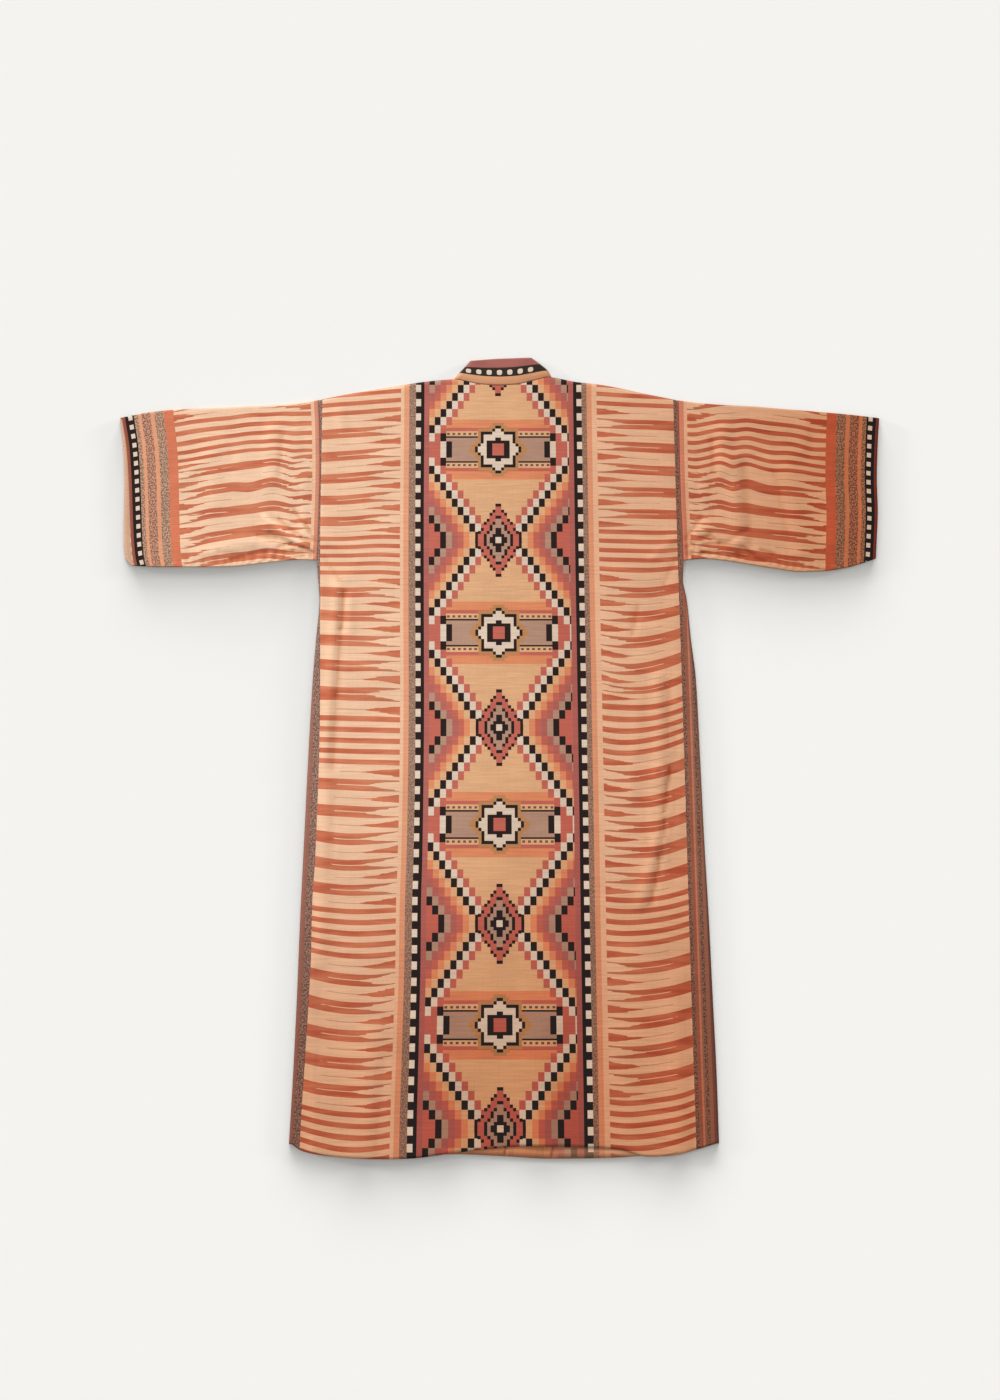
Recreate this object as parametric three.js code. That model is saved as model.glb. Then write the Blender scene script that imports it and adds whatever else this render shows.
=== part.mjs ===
// Kimono dress: a wide-sleeved robe with a standing neck band, laid flat on its front with its back up.
// Millimetres. +X to the right as it lies, +Y towards the neck, +Z up, the surface under it at z = 0.
// The two fronts, their bands and the sleeves' lower halves lie on the surface. The back, the sleeves'
// upper halves and the back of the collar lie over them, and turn down to the surface at the edges.
import * as THREE from 'three';

// Driving sizes of the cloth
const CLOTH = 1.6; // wall of the woven cloth
const LAYER_GAP = 1; // air between two layers that lie on each other
const SEAM_GAP = 0.3; // between two pieces at a seam
const NECK_SEAM_GAP = 0.5; // along the neckline, whose curve the two pieces follow in different steps
const UPPER = CLOTH + LAYER_GAP; // underside of an upper layer
const TURN = UPPER + CLOTH; // radius by which an upper layer turns down at an edge
const TURN_STEPS = 3;
const EDGE_CLEAR = 2.9; // a lower layer ends this far inside a turned edge
const CLEAR_START = 18; // and starts to draw in this far above the armpit
const MASK = 30; // folds die out over this width beside a turned edge

// Places on the cut
const ARMPIT_Y = 289;
const TURN_FADE = 40; // the side seam's turn grows to full over this length below the armpit
const NECK = { left: -68, right: 76 };
const NECK_FADE = 8;
const OPENING_X = 9; // where the two front bands meet
const NECK_V_Y = 240; // foot of the front neckline's V
const COLLAR_CLEAR = 4.6; // a band's top end lies this far below the collar's slanted end
const COLLAR_SAG = { inner: 14, outer: 38 }; // the collar's free edge lies on the surface between these

// Side seam below the armpit and armhole seam above it, hem to shoulder
const SIDES = [
  { y: -580, left: -316, right: 329.5 },
  { y: -480, left: -310, right: 326 },
  { y: -360, left: -304, right: 320 },
  { y: -240, left: -299, right: 314 },
  { y: -120, left: -293, right: 307 },
  { y: 0, left: -287, right: 301 },
  { y: 120, left: -280, right: 294.5 },
  { y: 180, left: -275, right: 287 },
  { y: 238, left: -270, right: 281 },
  { y: 270, left: -272, right: 275 },
  { y: 289, left: -273, right: 275.5 },
  { y: 340, left: -271, right: 274 },
  { y: 390, left: -269.5, right: 271.5 },
  { y: 440, left: -268.5, right: 270 },
  { y: 490, left: -269, right: 269 },
  { y: 540, left: -271, right: 268 },
];

// Shoulder line and back neckline, left to right
const TOP_LINE = [
  { x: -271, y: 537.5 },
  { x: -224, y: 547 },
  { x: -150, y: 559 },
  { x: -112, y: 565 },
  { x: -68, y: 568.5 },
  { x: -50, y: 565 },
  { x: -25, y: 560.5 },
  { x: 0, y: 559 },
  { x: 25, y: 560.5 },
  { x: 50, y: 566 },
  { x: 76, y: 571.5 },
  { x: 113, y: 565 },
  { x: 151, y: 560.5 },
  { x: 226, y: 545.5 },
  { x: 268, y: 537 },
];

// Hems of the back and of the fronts, left to right
const BACK_HEM = [
  { x: -316, y: -578 },
  { x: -300, y: -588.5 },
  { x: -262, y: -596 },
  { x: -224, y: -599.25 },
  { x: -170, y: -600.75 },
  { x: -134, y: -599.5 },
  { x: -74, y: -592 },
  { x: -29, y: -586.5 },
  { x: 46, y: -581 },
  { x: 136, y: -582.75 },
  { x: 181, y: -585.75 },
  { x: 226, y: -597 },
  { x: 263, y: -594.75 },
  { x: 301, y: -585.75 },
  { x: 329.5, y: -577 },
];
const FRONT_HEM = [
  { x: -310, y: -575 },
  { x: -200, y: -594 },
  { x: -61, y: -593.5 },
  { x: 0, y: -596 },
  { x: 76, y: -600 },
  { x: 151, y: -599.25 },
  { x: 210, y: -596 },
  { x: 250, y: -590 },
  { x: 325, y: -573 },
];

// Seam between a front and its band, and the band's free edge, hem to neck
const BAND_SEAM = [
  { y: -600, left: -61, right: 79 },
  { y: NECK_V_Y, left: -61, right: 79 },
  { y: 420, left: -63, right: 78 },
  { y: 570, left: NECK.left, right: NECK.right },
];
const BAND_EDGE = [
  { y: -600, left: OPENING_X, right: OPENING_X },
  { y: NECK_V_Y, left: OPENING_X, right: OPENING_X },
  { y: 420, left: -22, right: 30 },
  { y: 596, left: -44, right: 48 },
];

// Ends and free edge of the back of the collar
const COLLAR_ENDS = [
  { rise: 0, left: NECK.left, right: 78 },
  { rise: 0.35, left: -60, right: 72 },
  { rise: 0.65, left: -52.5, right: 62 },
  { rise: 1, left: -44, right: 48 },
];
const COLLAR_EDGE = [
  { x: -44, y: 596 },
  { x: 0, y: 599.5 },
  { x: 48, y: 600.75 },
];

// Sleeves: upper edge, underarm edge, and the cuff line of the upper (back) and lower (front) layer
const LEFT_SLEEVE = [
  { x: -271, top: 537.5, under: 293 },
  { x: -299, top: 533, under: 296 },
  { x: -337, top: 529.5, under: 295 },
  { x: -374, top: 528, under: 291 },
  { x: -412, top: 526, under: 287.5 },
  { x: -487, top: 523, under: 287 },
  { x: -524, top: 519, under: 287 },
  { x: -567, top: 511, under: 289 },
];
const RIGHT_SLEEVE = [
  { x: 268, top: 537, under: 291 },
  { x: 278, top: 535.5, under: 289 },
  { x: 298, top: 533, under: 296 },
  { x: 338, top: 530, under: 295.5 },
  { x: 376, top: 528, under: 290 },
  { x: 413, top: 525, under: 284.5 },
  { x: 451, top: 522, under: 280 },
  { x: 488, top: 519, under: 281 },
  { x: 526, top: 515.5, under: 286.5 },
  { x: 569, top: 510.5, under: 299 },
];
const LEFT_CUFF = [
  { y: 287, back: -546, front: -549 },
  { y: 300, back: -549.5, front: -561 },
  { y: 330, back: -552.5, front: -563.5 },
  { y: 420, back: -556, front: -562.5 },
  { y: 465, back: -559, front: -564 },
  { y: 511, back: -566, front: -569.25 },
];
const RIGHT_CUFF = [
  { y: 298, back: 564, front: 562 },
  { y: 330, back: 565.5, front: 564 },
  { y: 370, back: 567, front: 565.5 },
  { y: 420, back: 565.5, front: 564.5 },
  { y: 475, back: 567, front: 566 },
  { y: 511, back: 569.25, front: 568 },
];

// Main folds of the upper layer: a soft ridge from one place to the other, its half width and height
const FOLDS = [
  { x1: -247, y1: 256, x2: -264, y2: 0, width: 11, height: 3.8 },
  { x1: -262, y1: -20, x2: -272, y2: -300, width: 14, height: 2.2 },
  { x1: -190, y1: -420, x2: -205, y2: -610, width: 22, height: 2.2 },
  { x1: -96, y1: -330, x2: -84, y2: -600, width: 26, height: 1.6 },
  { x1: -241, y1: 528, x2: -238, y2: 496, width: 9, height: 1.6 },
  { x1: 236, y1: 120, x2: 240, y2: -20, width: 12, height: 3 },
  { x1: 240, y1: -20, x2: 236, y2: -125, width: 11, height: 3.6 },
  { x1: 236, y1: -125, x2: 211, y2: -215, width: 11, height: 3.2 },
  { x1: 270, y1: 230, x2: 274, y2: 60, width: 13, height: 2.4 },
  { x1: 262, y1: -330, x2: 270, y2: -600, width: 18, height: 2.4 },
  { x1: 60, y1: -420, x2: 66, y2: -585, width: 28, height: 1.8 },
  { x1: -30, y1: 150, x2: -12, y2: -190, width: 36, height: 1.2 },
  { x1: -422, y1: 469, x2: -426, y2: 388, width: 13, height: 2.8 },
  { x1: -341, y1: 491, x2: -344, y2: 418, width: 12, height: 2.6 },
  { x1: -284, y1: 312, x2: -347, y2: 350, width: 10, height: 3.8 },
  { x1: -304, y1: 306, x2: -367, y2: 324, width: 9, height: 2.6 },
  { x1: -482, y1: 415, x2: -434, y2: 455, width: 9, height: 2.8 },
  { x1: -449, y1: 304, x2: -382, y2: 322, width: 12, height: 2.6 },
  { x1: 331, y1: 491, x2: 334, y2: 436, width: 12, height: 2.8 },
  { x1: 352, y1: 452, x2: 354, y2: 314, width: 11, height: 3.8 },
  { x1: 288, y1: 312, x2: 312, y2: 348, width: 10, height: 3.8 },
  { x1: 304, y1: 304, x2: 353, y2: 318, width: 9, height: 3 },
  { x1: 430, y1: 433, x2: 451, y2: 313, width: 16, height: 2.6 },
  { x1: 503, y1: 470, x2: 507, y2: 330, width: 16, height: 1.8 },
];
const FOLD_LIMIT = 4.4; // no fold stands higher than this above the layer's own level

// Steps of the meshes
const SHOULDER_COLUMNS = 9;
const NECK_COLUMNS = 10;
const BACK_ROWS = 29;
const FRONT_COLUMNS = 5;
const FRONT_ROWS = BACK_ROWS;
const BAND_COLUMNS = 4;
const BAND_ROWS = 20;
const COLLAR_COLUMNS = 13;
const COLLAR_ROWS = 6;
const SLEEVE_RINGS = 22;
const SLEEVE_UPPER = 16;
const SLEEVE_LOWER = 6;

// Colours of the woven cloth, taken as a whole
const BODY_COLOUR = 0xd99a72;
const SLEEVE_COLOUR = 0xd28a63;
const BAND_COLOUR = 0xe3ab84;
const CLOTH_ROUGHNESS = 0.9;

const { lerp, clamp, smoothstep } = THREE.MathUtils;

// A list of evenly spaced values, both ends included
function steps(from, to, count) {
  return Array.from({ length: count }, (_, i) => lerp(from, to, i / (count - 1)));
}

// Reads one column of a table along a smooth curve through its rows, which never swings past them
function along(table, key, at, column) {
  const rows = table[0][key] < table.at(-1)[key] ? table : [...table].reverse();
  const value = clamp(at, rows[0][key], rows.at(-1)[key]);
  let i = rows.findIndex((row) => row[key] >= value);
  i = clamp(i, 1, rows.length - 1);
  const span = (k) => (rows[k][column] - rows[k - 1][column]) / (rows[k][key] - rows[k - 1][key]);
  const between = (a, b) => (a * b > 0 ? (2 * a * b) / (a + b) : 0);
  const before = i > 1 ? between(span(i - 1), span(i)) : span(i);
  const after = i < rows.length - 1 ? between(span(i), span(i + 1)) : span(i);
  const width = rows[i][key] - rows[i - 1][key];
  const t = (value - rows[i - 1][key]) / width;
  const ease = t * t * (3 - 2 * t);
  const bendBefore = t * (1 - t) * (1 - t) * before * width;
  const bendAfter = t * t * (t - 1) * after * width;
  return lerp(rows[i - 1][column], rows[i][column], ease) + bendBefore + bendAfter;
}

const side = (y, name) => along(SIDES, 'y', y, name);
const topLine = (x) => along(TOP_LINE, 'x', x, 'y');

// How far the side seam is turned down at a height on the body: not at all at the armhole
function sideTurn(y) {
  return smoothstep(ARMPIT_Y - y, 0, TURN_FADE);
}

// How far the shoulder is turned down: not at all along the neckline
function shoulderTurn(x) {
  return x <= NECK.left ? smoothstep(NECK.left - x, 0, NECK_FADE) : smoothstep(x - NECK.right, 0, NECK_FADE);
}

// Distance from a point to a fold's line
function foldDistance(fold, x, y) {
  const dx = fold.x2 - fold.x1;
  const dy = fold.y2 - fold.y1;
  const t = clamp(((x - fold.x1) * dx + (y - fold.y1) * dy) / (dx * dx + dy * dy), 0, 1);
  return Math.hypot(x - fold.x1 - t * dx, y - fold.y1 - t * dy);
}

// Height that the folds give the upper layer at a point
function lift(x, y) {
  const ridges = FOLDS.map((fold) => fold.height * Math.exp(-((foldDistance(fold, x, y) / fold.width) ** 2)));
  return Math.min(FOLD_LIMIT, ridges.reduce((sum, ridge) => sum + ridge, 0));
}

// Folds die out beside a turned edge
function beside(distance, turn) {
  return 1 - turn * (1 - smoothstep(distance, 0, MASK));
}

// One step round a turned edge, on the outer or inner face: distance in from the outline, and height
function turned(step, turn, radius) {
  const angle = (step / TURN_STEPS) * (Math.PI / 2);
  const inset = lerp(TURN * (1 - step / TURN_STEPS), TURN - radius * Math.sin(angle), turn);
  return { inset, height: lerp(radius, radius * Math.cos(angle), turn) };
}

// A mesh from points and triangles, turned inside out if its faces point in
function solid(name, points, triangles, colour) {
  const corner = (i) => new THREE.Vector3(...points[i]);
  const volume = triangles.reduce((sum, [a, b, c]) => sum + corner(a).dot(corner(b).cross(corner(c))), 0);
  const faces = volume > 0 ? triangles : triangles.map(([a, b, c]) => [a, c, b]);
  const geometry = new THREE.BufferGeometry();
  geometry.setAttribute('position', new THREE.Float32BufferAttribute(points.flat(), 3));
  geometry.setIndex(faces.flat());
  geometry.computeVertexNormals();
  const material = new THREE.MeshStandardMaterial({ color: colour, roughness: CLOTH_ROUGHNESS, metalness: 0 });
  const mesh = new THREE.Mesh(geometry, material);
  mesh.name = name;
  return mesh;
}

// Two triangles across four corners
function quad(a, b, c, d) {
  return [[a, b, c], [a, c, d]];
}

// A closed wall of cloth from a grid: place(row, column, outer) gives a point of its upper or lower face
function clothWall(name, rows, columns, place, colour) {
  const points = [];
  for (const outer of [true, false]) {
    for (let i = 0; i < rows; i++) {
      for (let j = 0; j < columns; j++) points.push(place(i, j, outer));
    }
  }
  const top = (i, j) => i * columns + j;
  const bottom = (i, j) => rows * columns + top(i, j);
  const triangles = [];
  for (let i = 0; i < rows - 1; i++) {
    for (let j = 0; j < columns - 1; j++) {
      triangles.push(...quad(top(i, j), top(i, j + 1), top(i + 1, j + 1), top(i + 1, j)));
      triangles.push(...quad(bottom(i, j), bottom(i + 1, j), bottom(i + 1, j + 1), bottom(i, j + 1)));
    }
  }
  const rim = [];
  for (let j = 0; j < columns - 1; j++) rim.push([0, j]);
  for (let i = 0; i < rows - 1; i++) rim.push([i, columns - 1]);
  for (let j = columns - 1; j > 0; j--) rim.push([rows - 1, j]);
  for (let i = rows - 1; i > 0; i--) rim.push([i, 0]);
  rim.forEach((from, k) => {
    const to = rim[(k + 1) % rim.length];
    triangles.push(...quad(top(...to), top(...from), bottom(...from), bottom(...to)));
  });
  return solid(name, points, triangles, colour);
}

// Columns of the back: its place at the shoulder line, and its step round the side seam's turn
function backColumns() {
  const left = side(TOP_LINE[0].y, 'left');
  const right = side(TOP_LINE.at(-1).y, 'right');
  const edge = (x, name) => steps(TURN_STEPS, 0, TURN_STEPS + 1).map((step) => {
    const inset = (TURN * (TURN_STEPS - step)) / TURN_STEPS;
    return { x: name === 'left' ? x + inset : x - inset, edge: name, step };
  });
  const shoulders = [
    steps(left + TURN, NECK.left - NECK_FADE, SHOULDER_COLUMNS).slice(1),
    steps(NECK.left, NECK.right, NECK_COLUMNS + 2),
    steps(NECK.right + NECK_FADE, right - TURN, SHOULDER_COLUMNS).slice(0, -1),
  ];
  const middle = shoulders.flat().map((x) => ({ x }));
  return [...edge(left, 'left'), ...middle, ...edge(right, 'right').reverse()];
}

// The back: one panel from hem to shoulders, over the two fronts
function back() {
  const columns = backColumns();
  const first = columns[0].x;
  const last = columns.at(-1).x;
  const place = (row, j, outer) => {
    const column = columns[j];
    const radius = outer ? TURN : UPPER;
    const share = (column.x - first) / (last - first);
    const hem = along(BACK_HEM, 'x', lerp(BACK_HEM[0].x, BACK_HEM.at(-1).x, share), 'y');
    const top = topLine(column.x);
    const shoulder = shoulderTurn(column.x);
    const over = turned(Math.max(0, row - BACK_ROWS + 1), shoulder, radius);
    const y = row < BACK_ROWS ? lerp(hem, top - TURN, row / (BACK_ROWS - 1)) : top - over.inset;
    const turn = sideTurn(y);
    const left = side(y, 'left');
    const right = side(y, 'right');
    const round = column.edge ? turned(column.step, turn, radius) : { inset: 0, height: radius };
    const inner = (column.x - first - TURN) / (last - first - 2 * TURN);
    let x = lerp(left + TURN, right - TURN, inner);
    if (column.edge === 'left') x = left + round.inset;
    if (column.edge === 'right') x = right - round.inset;
    const mask = beside(Math.min(x - left, right - x) - TURN, turn) * beside(top - y - TURN, shoulder);
    return [x, y, (round.height * over.height) / radius + mask * lift(x, y)];
  };
  return clothWall('back', BACK_ROWS + TURN_STEPS, columns.length, place, BODY_COLOUR);
}

// A front: flat on the surface, from its side seam and armhole to the band's seam
function front(name, part) {
  const sign = name === 'left' ? -1 : 1;
  const seam = (y) => along(BAND_SEAM, 'y', y, name) + (sign * SEAM_GAP) / 2;
  const drawnIn = (y) => EDGE_CLEAR * smoothstep(ARMPIT_Y + CLEAR_START - y, 0, TURN_FADE / 2);
  const edge = (y) => side(y, name) - sign * drawnIn(y);
  const place = (row, j, outer) => {
    const share = j / (FRONT_COLUMNS - 1);
    const hemX = lerp(edge(SIDES[0].y), seam(SIDES[0].y), share);
    const topX = lerp(edge(SIDES.at(-1).y), seam(SIDES.at(-1).y), share);
    const top = topLine(topX) - EDGE_CLEAR;
    const y = lerp(along(FRONT_HEM, 'x', hemX, 'y'), top, row / (FRONT_ROWS - 1));
    return [lerp(edge(y), seam(y), share), y, outer ? CLOTH : 0];
  };
  return clothWall(part, FRONT_ROWS, FRONT_COLUMNS, place, BODY_COLOUR);
}

// A front band: flat on the surface, from the hem up beside the opening to the collar's end
function frontBand(name, part) {
  const sign = name === 'left' ? -1 : 1;
  const seam = (y) => along(BAND_SEAM, 'y', y, name) - (sign * SEAM_GAP) / 2;
  const edge = (y) => along(BAND_EDGE, 'y', y, name) + (sign * SEAM_GAP) / 2;
  const place = (row, j, outer) => {
    const share = j / (BAND_COLUMNS - 1);
    const hemX = lerp(seam(SIDES[0].y), edge(SIDES[0].y), share);
    const top = lerp(topLine(NECK[name]), BAND_EDGE.at(-1).y, share) - COLLAR_CLEAR;
    const y = lerp(along(FRONT_HEM, 'x', hemX, 'y'), top, row / (BAND_ROWS - 1));
    return [lerp(seam(y), edge(y), share), y, outer ? CLOTH : 0];
  };
  return clothWall(part, BAND_ROWS, BAND_COLUMNS, place, BAND_COLOUR);
}

// The back of the collar: it stands on from the neckline, and turns down at both ends
function collarBack() {
  const count = COLLAR_COLUMNS + 2 * TURN_STEPS;
  const place = (row, j, outer) => {
    const rise = row / (COLLAR_ROWS - 1);
    const radius = outer ? TURN : UPPER;
    const left = along(COLLAR_ENDS, 'rise', rise, 'left');
    const right = along(COLLAR_ENDS, 'rise', rise, 'right');
    const share = clamp((j - TURN_STEPS) / (COLLAR_COLUMNS - 1), 0, 1);
    const step = Math.max(TURN_STEPS - j, j - (count - 1 - TURN_STEPS), 0);
    const round = turned(step, 1, radius);
    let x = lerp(left + TURN, right - TURN, share);
    if (j < TURN_STEPS) x = left + round.inset;
    if (j > count - 1 - TURN_STEPS) x = right - round.inset;
    const across = (x - left) / (right - left);
    const seamX = lerp(COLLAR_ENDS[0].left, COLLAR_ENDS[0].right, across);
    const edgeX = lerp(COLLAR_EDGE[0].x, COLLAR_EDGE.at(-1).x, across);
    const y = lerp(topLine(seamX) + NECK_SEAM_GAP, along(COLLAR_EDGE, 'x', edgeX, 'y'), rise);
    const sag = UPPER * rise * rise * (1 - smoothstep(Math.abs(x), COLLAR_SAG.inner, COLLAR_SAG.outer));
    return [x, y, round.height - sag];
  };
  return clothWall('collar_back', COLLAR_ROWS, count, place, BAND_COLOUR);
}

// The flattened section of a sleeve: share of its width, layer (0 lower, 1 upper) and a fold's angle
function sleeveSection() {
  const quarter = Math.PI / 4;
  const lower = steps(0, 1, SLEEVE_LOWER).map((share) => ({ share, layer: 0 }));
  const upper = steps(1, 0, SLEEVE_UPPER).map((share) => ({ share, layer: 1 }));
  const fold = (share) => [1, 2, 3].map((k) => ({ share, layer: k / 4, angle: k * quarter }));
  return [...lower, ...fold(1), ...upper, ...fold(0).reverse()];
}

// A sleeve: a flattened tube from the armhole to the cuff, folded along its top and seamed underarm
function sleeve(name, part, edges, cuffs) {
  const sign = name === 'left' ? -1 : 1;
  const section = sleeveSection();
  const middle = TURN / 2;
  const points = [];
  for (const outer of [true, false]) {
    const radius = outer ? middle : LAYER_GAP / 2;
    for (let ring = 0; ring < SLEEVE_RINGS; ring++) {
      const reach = (ring / (SLEEVE_RINGS - 1)) ** 1.15;
      const middleX = lerp(edges[0].x, edges.at(-1).x, reach);
      const top = along(edges, 'x', middleX, 'top');
      const under = along(edges, 'x', middleX, 'under');
      for (const { share, layer, angle } of section) {
        let y = lerp(under + middle, top - middle, share);
        let z = middle - radius * Math.cos(layer * Math.PI);
        if (angle) y += (share === 1 ? 1 : -1) * radius * Math.sin(angle);
        const cuff = lerp(along(cuffs, 'y', y, 'front'), along(cuffs, 'y', y, 'back'), layer);
        const x = lerp(side(y, name) + sign * SEAM_GAP, cuff, reach);
        if (layer === 1) z += beside(Math.min(top - y, y - under) - middle, 1) * lift(x, y);
        points.push([x, y, z]);
      }
    }
  }
  const around = section.length;
  const at = (face, ring, k) => (face * SLEEVE_RINGS + ring) * around + (k % around);
  const triangles = [];
  for (let k = 0; k < around; k++) {
    for (let ring = 0; ring < SLEEVE_RINGS - 1; ring++) {
      triangles.push(...quad(at(0, ring, k), at(0, ring, k + 1), at(0, ring + 1, k + 1), at(0, ring + 1, k)));
      triangles.push(...quad(at(1, ring, k), at(1, ring + 1, k), at(1, ring + 1, k + 1), at(1, ring, k + 1)));
    }
    const cuff = SLEEVE_RINGS - 1;
    triangles.push(...quad(at(0, 0, k), at(1, 0, k), at(1, 0, k + 1), at(0, 0, k + 1)));
    triangles.push(...quad(at(0, cuff, k), at(0, cuff, k + 1), at(1, cuff, k + 1), at(1, cuff, k)));
  }
  return solid(part, points, triangles, SLEEVE_COLOUR);
}

const group = new THREE.Group();
group.add(back());
group.add(front('left', 'front_left'));
group.add(front('right', 'front_right'));
group.add(sleeve('left', 'sleeve_left', LEFT_SLEEVE, LEFT_CUFF));
group.add(sleeve('right', 'sleeve_right', RIGHT_SLEEVE, RIGHT_CUFF));
group.add(collarBack());
group.add(frontBand('left', 'front_band_left'));
group.add(frontBand('right', 'front_band_right'));

export default group;
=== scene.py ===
# %% [markdown]
# # A kimono dress, laid flat on its front
# The robe lies face down on a pale table, so its back shows. It is cut from one wide patterned cloth:
# the two fronts and the lower halves of the sleeves lie on the table, and the back, the upper halves of
# the sleeves and the back of the collar lie on them. Blender gives each piece of cloth its folds, its
# seams and its woven pattern. All sizes here are written in millimetres, and turned to metres at the end.

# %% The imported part, and the tools that this lesson uses
import math
from functools import partial

import bpy
import numpy as np
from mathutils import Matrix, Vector


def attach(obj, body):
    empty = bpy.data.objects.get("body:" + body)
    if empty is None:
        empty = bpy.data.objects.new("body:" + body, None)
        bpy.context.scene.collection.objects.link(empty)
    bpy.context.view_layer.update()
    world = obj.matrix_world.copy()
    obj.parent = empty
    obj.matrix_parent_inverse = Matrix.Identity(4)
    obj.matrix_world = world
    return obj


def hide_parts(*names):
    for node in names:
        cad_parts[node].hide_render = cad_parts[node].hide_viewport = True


MM = 0.001

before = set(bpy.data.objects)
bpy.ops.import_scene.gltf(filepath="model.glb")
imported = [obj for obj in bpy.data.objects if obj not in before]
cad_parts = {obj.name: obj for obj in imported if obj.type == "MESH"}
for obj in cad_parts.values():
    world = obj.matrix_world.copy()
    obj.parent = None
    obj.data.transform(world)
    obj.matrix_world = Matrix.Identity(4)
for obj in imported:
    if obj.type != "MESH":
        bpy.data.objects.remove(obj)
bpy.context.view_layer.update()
print("nodes to dress:", ", ".join(sorted(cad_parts)))

# %% [markdown]
# ## The camera
# The garment was seen from straight above. A long lens keeps its edges parallel. The height of the camera
# follows from the height of the picture on the table, so that one pixel is 1.5 mm.

# %% Camera
VIEW_CENTRE = (0.75, 87.75)
VIEW_HEIGHT = 2100.0
LENS = 85.0
SENSOR = 36.0

camera = bpy.data.objects.new("camera", bpy.data.cameras.new("camera"))
camera.data.lens = LENS
camera.data.sensor_width = SENSOR
camera.location = (VIEW_CENTRE[0] * MM, VIEW_CENTRE[1] * MM, VIEW_HEIGHT * MM * LENS / SENSOR)
bpy.context.scene.collection.objects.link(camera)
bpy.context.scene.camera = camera
print("camera height, m:", round(camera.location.z, 3))

# %% [markdown]
# ## The cut of the robe
# These tables repeat the part's own outlines: the side seams and armholes, the shoulder line, the hems,
# the band, the collar and the sleeves. Each has named columns, and a smooth curve runs through its rows.


# %% Tables and the curve through their rows
def table(columns, *rows):
    """Rows of numbers under named columns."""
    return {name: np.array([row[i] for row in rows], float) for i, name in enumerate(columns.split())}


def along(rows, key, at, column):
    """Reads a column of a table along a smooth curve, which never swings past its rows."""
    order = np.argsort(rows[key])
    x, y = rows[key][order], rows[column][order]
    slope = np.diff(y) / np.diff(x)
    before, after = slope[:-1], slope[1:]
    same_way = before * after > 0
    between = np.where(same_way, 2 * before * after / np.where(same_way, before + after, 1), 0)
    bend = np.concatenate([slope[:1], between, slope[-1:]])
    at = np.clip(at, x[0], x[-1])
    i = np.clip(np.searchsorted(x, at, side="right") - 1, 0, len(x) - 2)
    width = x[i + 1] - x[i]
    t = (at - x[i]) / width
    ease = t * t * (3 - 2 * t)
    bends = t * (1 - t) ** 2 * bend[i] * width - t * t * (1 - t) * bend[i + 1] * width
    return y[i] + (y[i + 1] - y[i]) * ease + bends


def smooth(value, low, high):
    """Eases from 0 at low to 1 at high."""
    t = np.clip((value - low) / (high - low), 0, 1)
    return t * t * (3 - 2 * t)


def mixed(a, b, share):
    return a + (b - a) * share


SIDES = table(
    "y left right",
    (-580, -316, 329.5), (-480, -310, 326), (-360, -304, 320), (-240, -299, 314), (-120, -293, 307),
    (0, -287, 301), (120, -280, 294.5), (180, -275, 287), (238, -270, 281), (270, -272, 275),
    (289, -273, 275.5), (340, -271, 274), (390, -269.5, 271.5), (440, -268.5, 270), (490, -269, 269),
    (540, -271, 268),
)
TOP_LINE = table(
    "x y",
    (-271, 537.5), (-224, 547), (-150, 559), (-112, 565), (-68, 568.5), (-50, 565), (-25, 560.5), (0, 559),
    (25, 560.5), (50, 566), (76, 571.5), (113, 565), (151, 560.5), (226, 545.5), (268, 537),
)
BACK_HEM = table(
    "x y",
    (-316, -578), (-300, -588.5), (-262, -596), (-224, -599.25), (-170, -600.75), (-134, -599.5),
    (-74, -592), (-29, -586.5), (46, -581), (136, -582.75), (181, -585.75), (226, -597), (263, -594.75),
    (301, -585.75), (329.5, -577),
)
FRONT_HEM = table(
    "x y",
    (-310, -575), (-200, -594), (-61, -593.5), (0, -596), (76, -600), (151, -599.25), (210, -596),
    (250, -590), (325, -573),
)
BAND_SEAM = table("y left right", (-600, -61, 79), (240, -61, 79), (420, -63, 78), (570, -68, 76))
BAND_EDGE = table("y left right", (-600, 9, 9), (240, 9, 9), (420, -22, 30), (596, -44, 48))
COLLAR_ENDS = table("rise left right", (0, -68, 78), (0.35, -60, 72), (0.65, -52.5, 62), (1, -44, 48))
COLLAR_EDGE = table("x y", (-44, 596), (0, 599.5), (48, 600.75))
SLEEVES = {
    "left": table(
        "x top under",
        (-271, 537.5, 297), (-299, 533, 298), (-337, 529.5, 295), (-374, 528, 291), (-412, 526, 287.5),
        (-487, 523, 287), (-524, 519, 287), (-567, 511, 289),
    ),
    "right": table(
        "x top under",
        (268, 537, 297), (278, 535.5, 298), (298, 533, 299.5), (338, 530, 296), (376, 528, 290),
        (413, 525, 284.5), (451, 522, 280), (488, 519, 281), (526, 515.5, 286.5), (569, 510.5, 299),
    ),
}
CUFFS = {
    "left": table(
        "y back front",
        (287, -546, -549), (300, -549.5, -561), (330, -552.5, -563.5), (420, -556, -562.5),
        (465, -559, -564), (511, -566, -569.25),
    ),
    "right": table(
        "y back front",
        (298, 564, 562), (330, 565.5, 564), (370, 567, 565.5), (420, 565.5, 564.5), (475, 567, 566),
        (511, 569.25, 568),
    ),
}
SIGN = {"left": -1, "right": 1}
print("body, mm:", TOP_LINE["y"].max() - BACK_HEM["y"].min(), "long")

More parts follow.
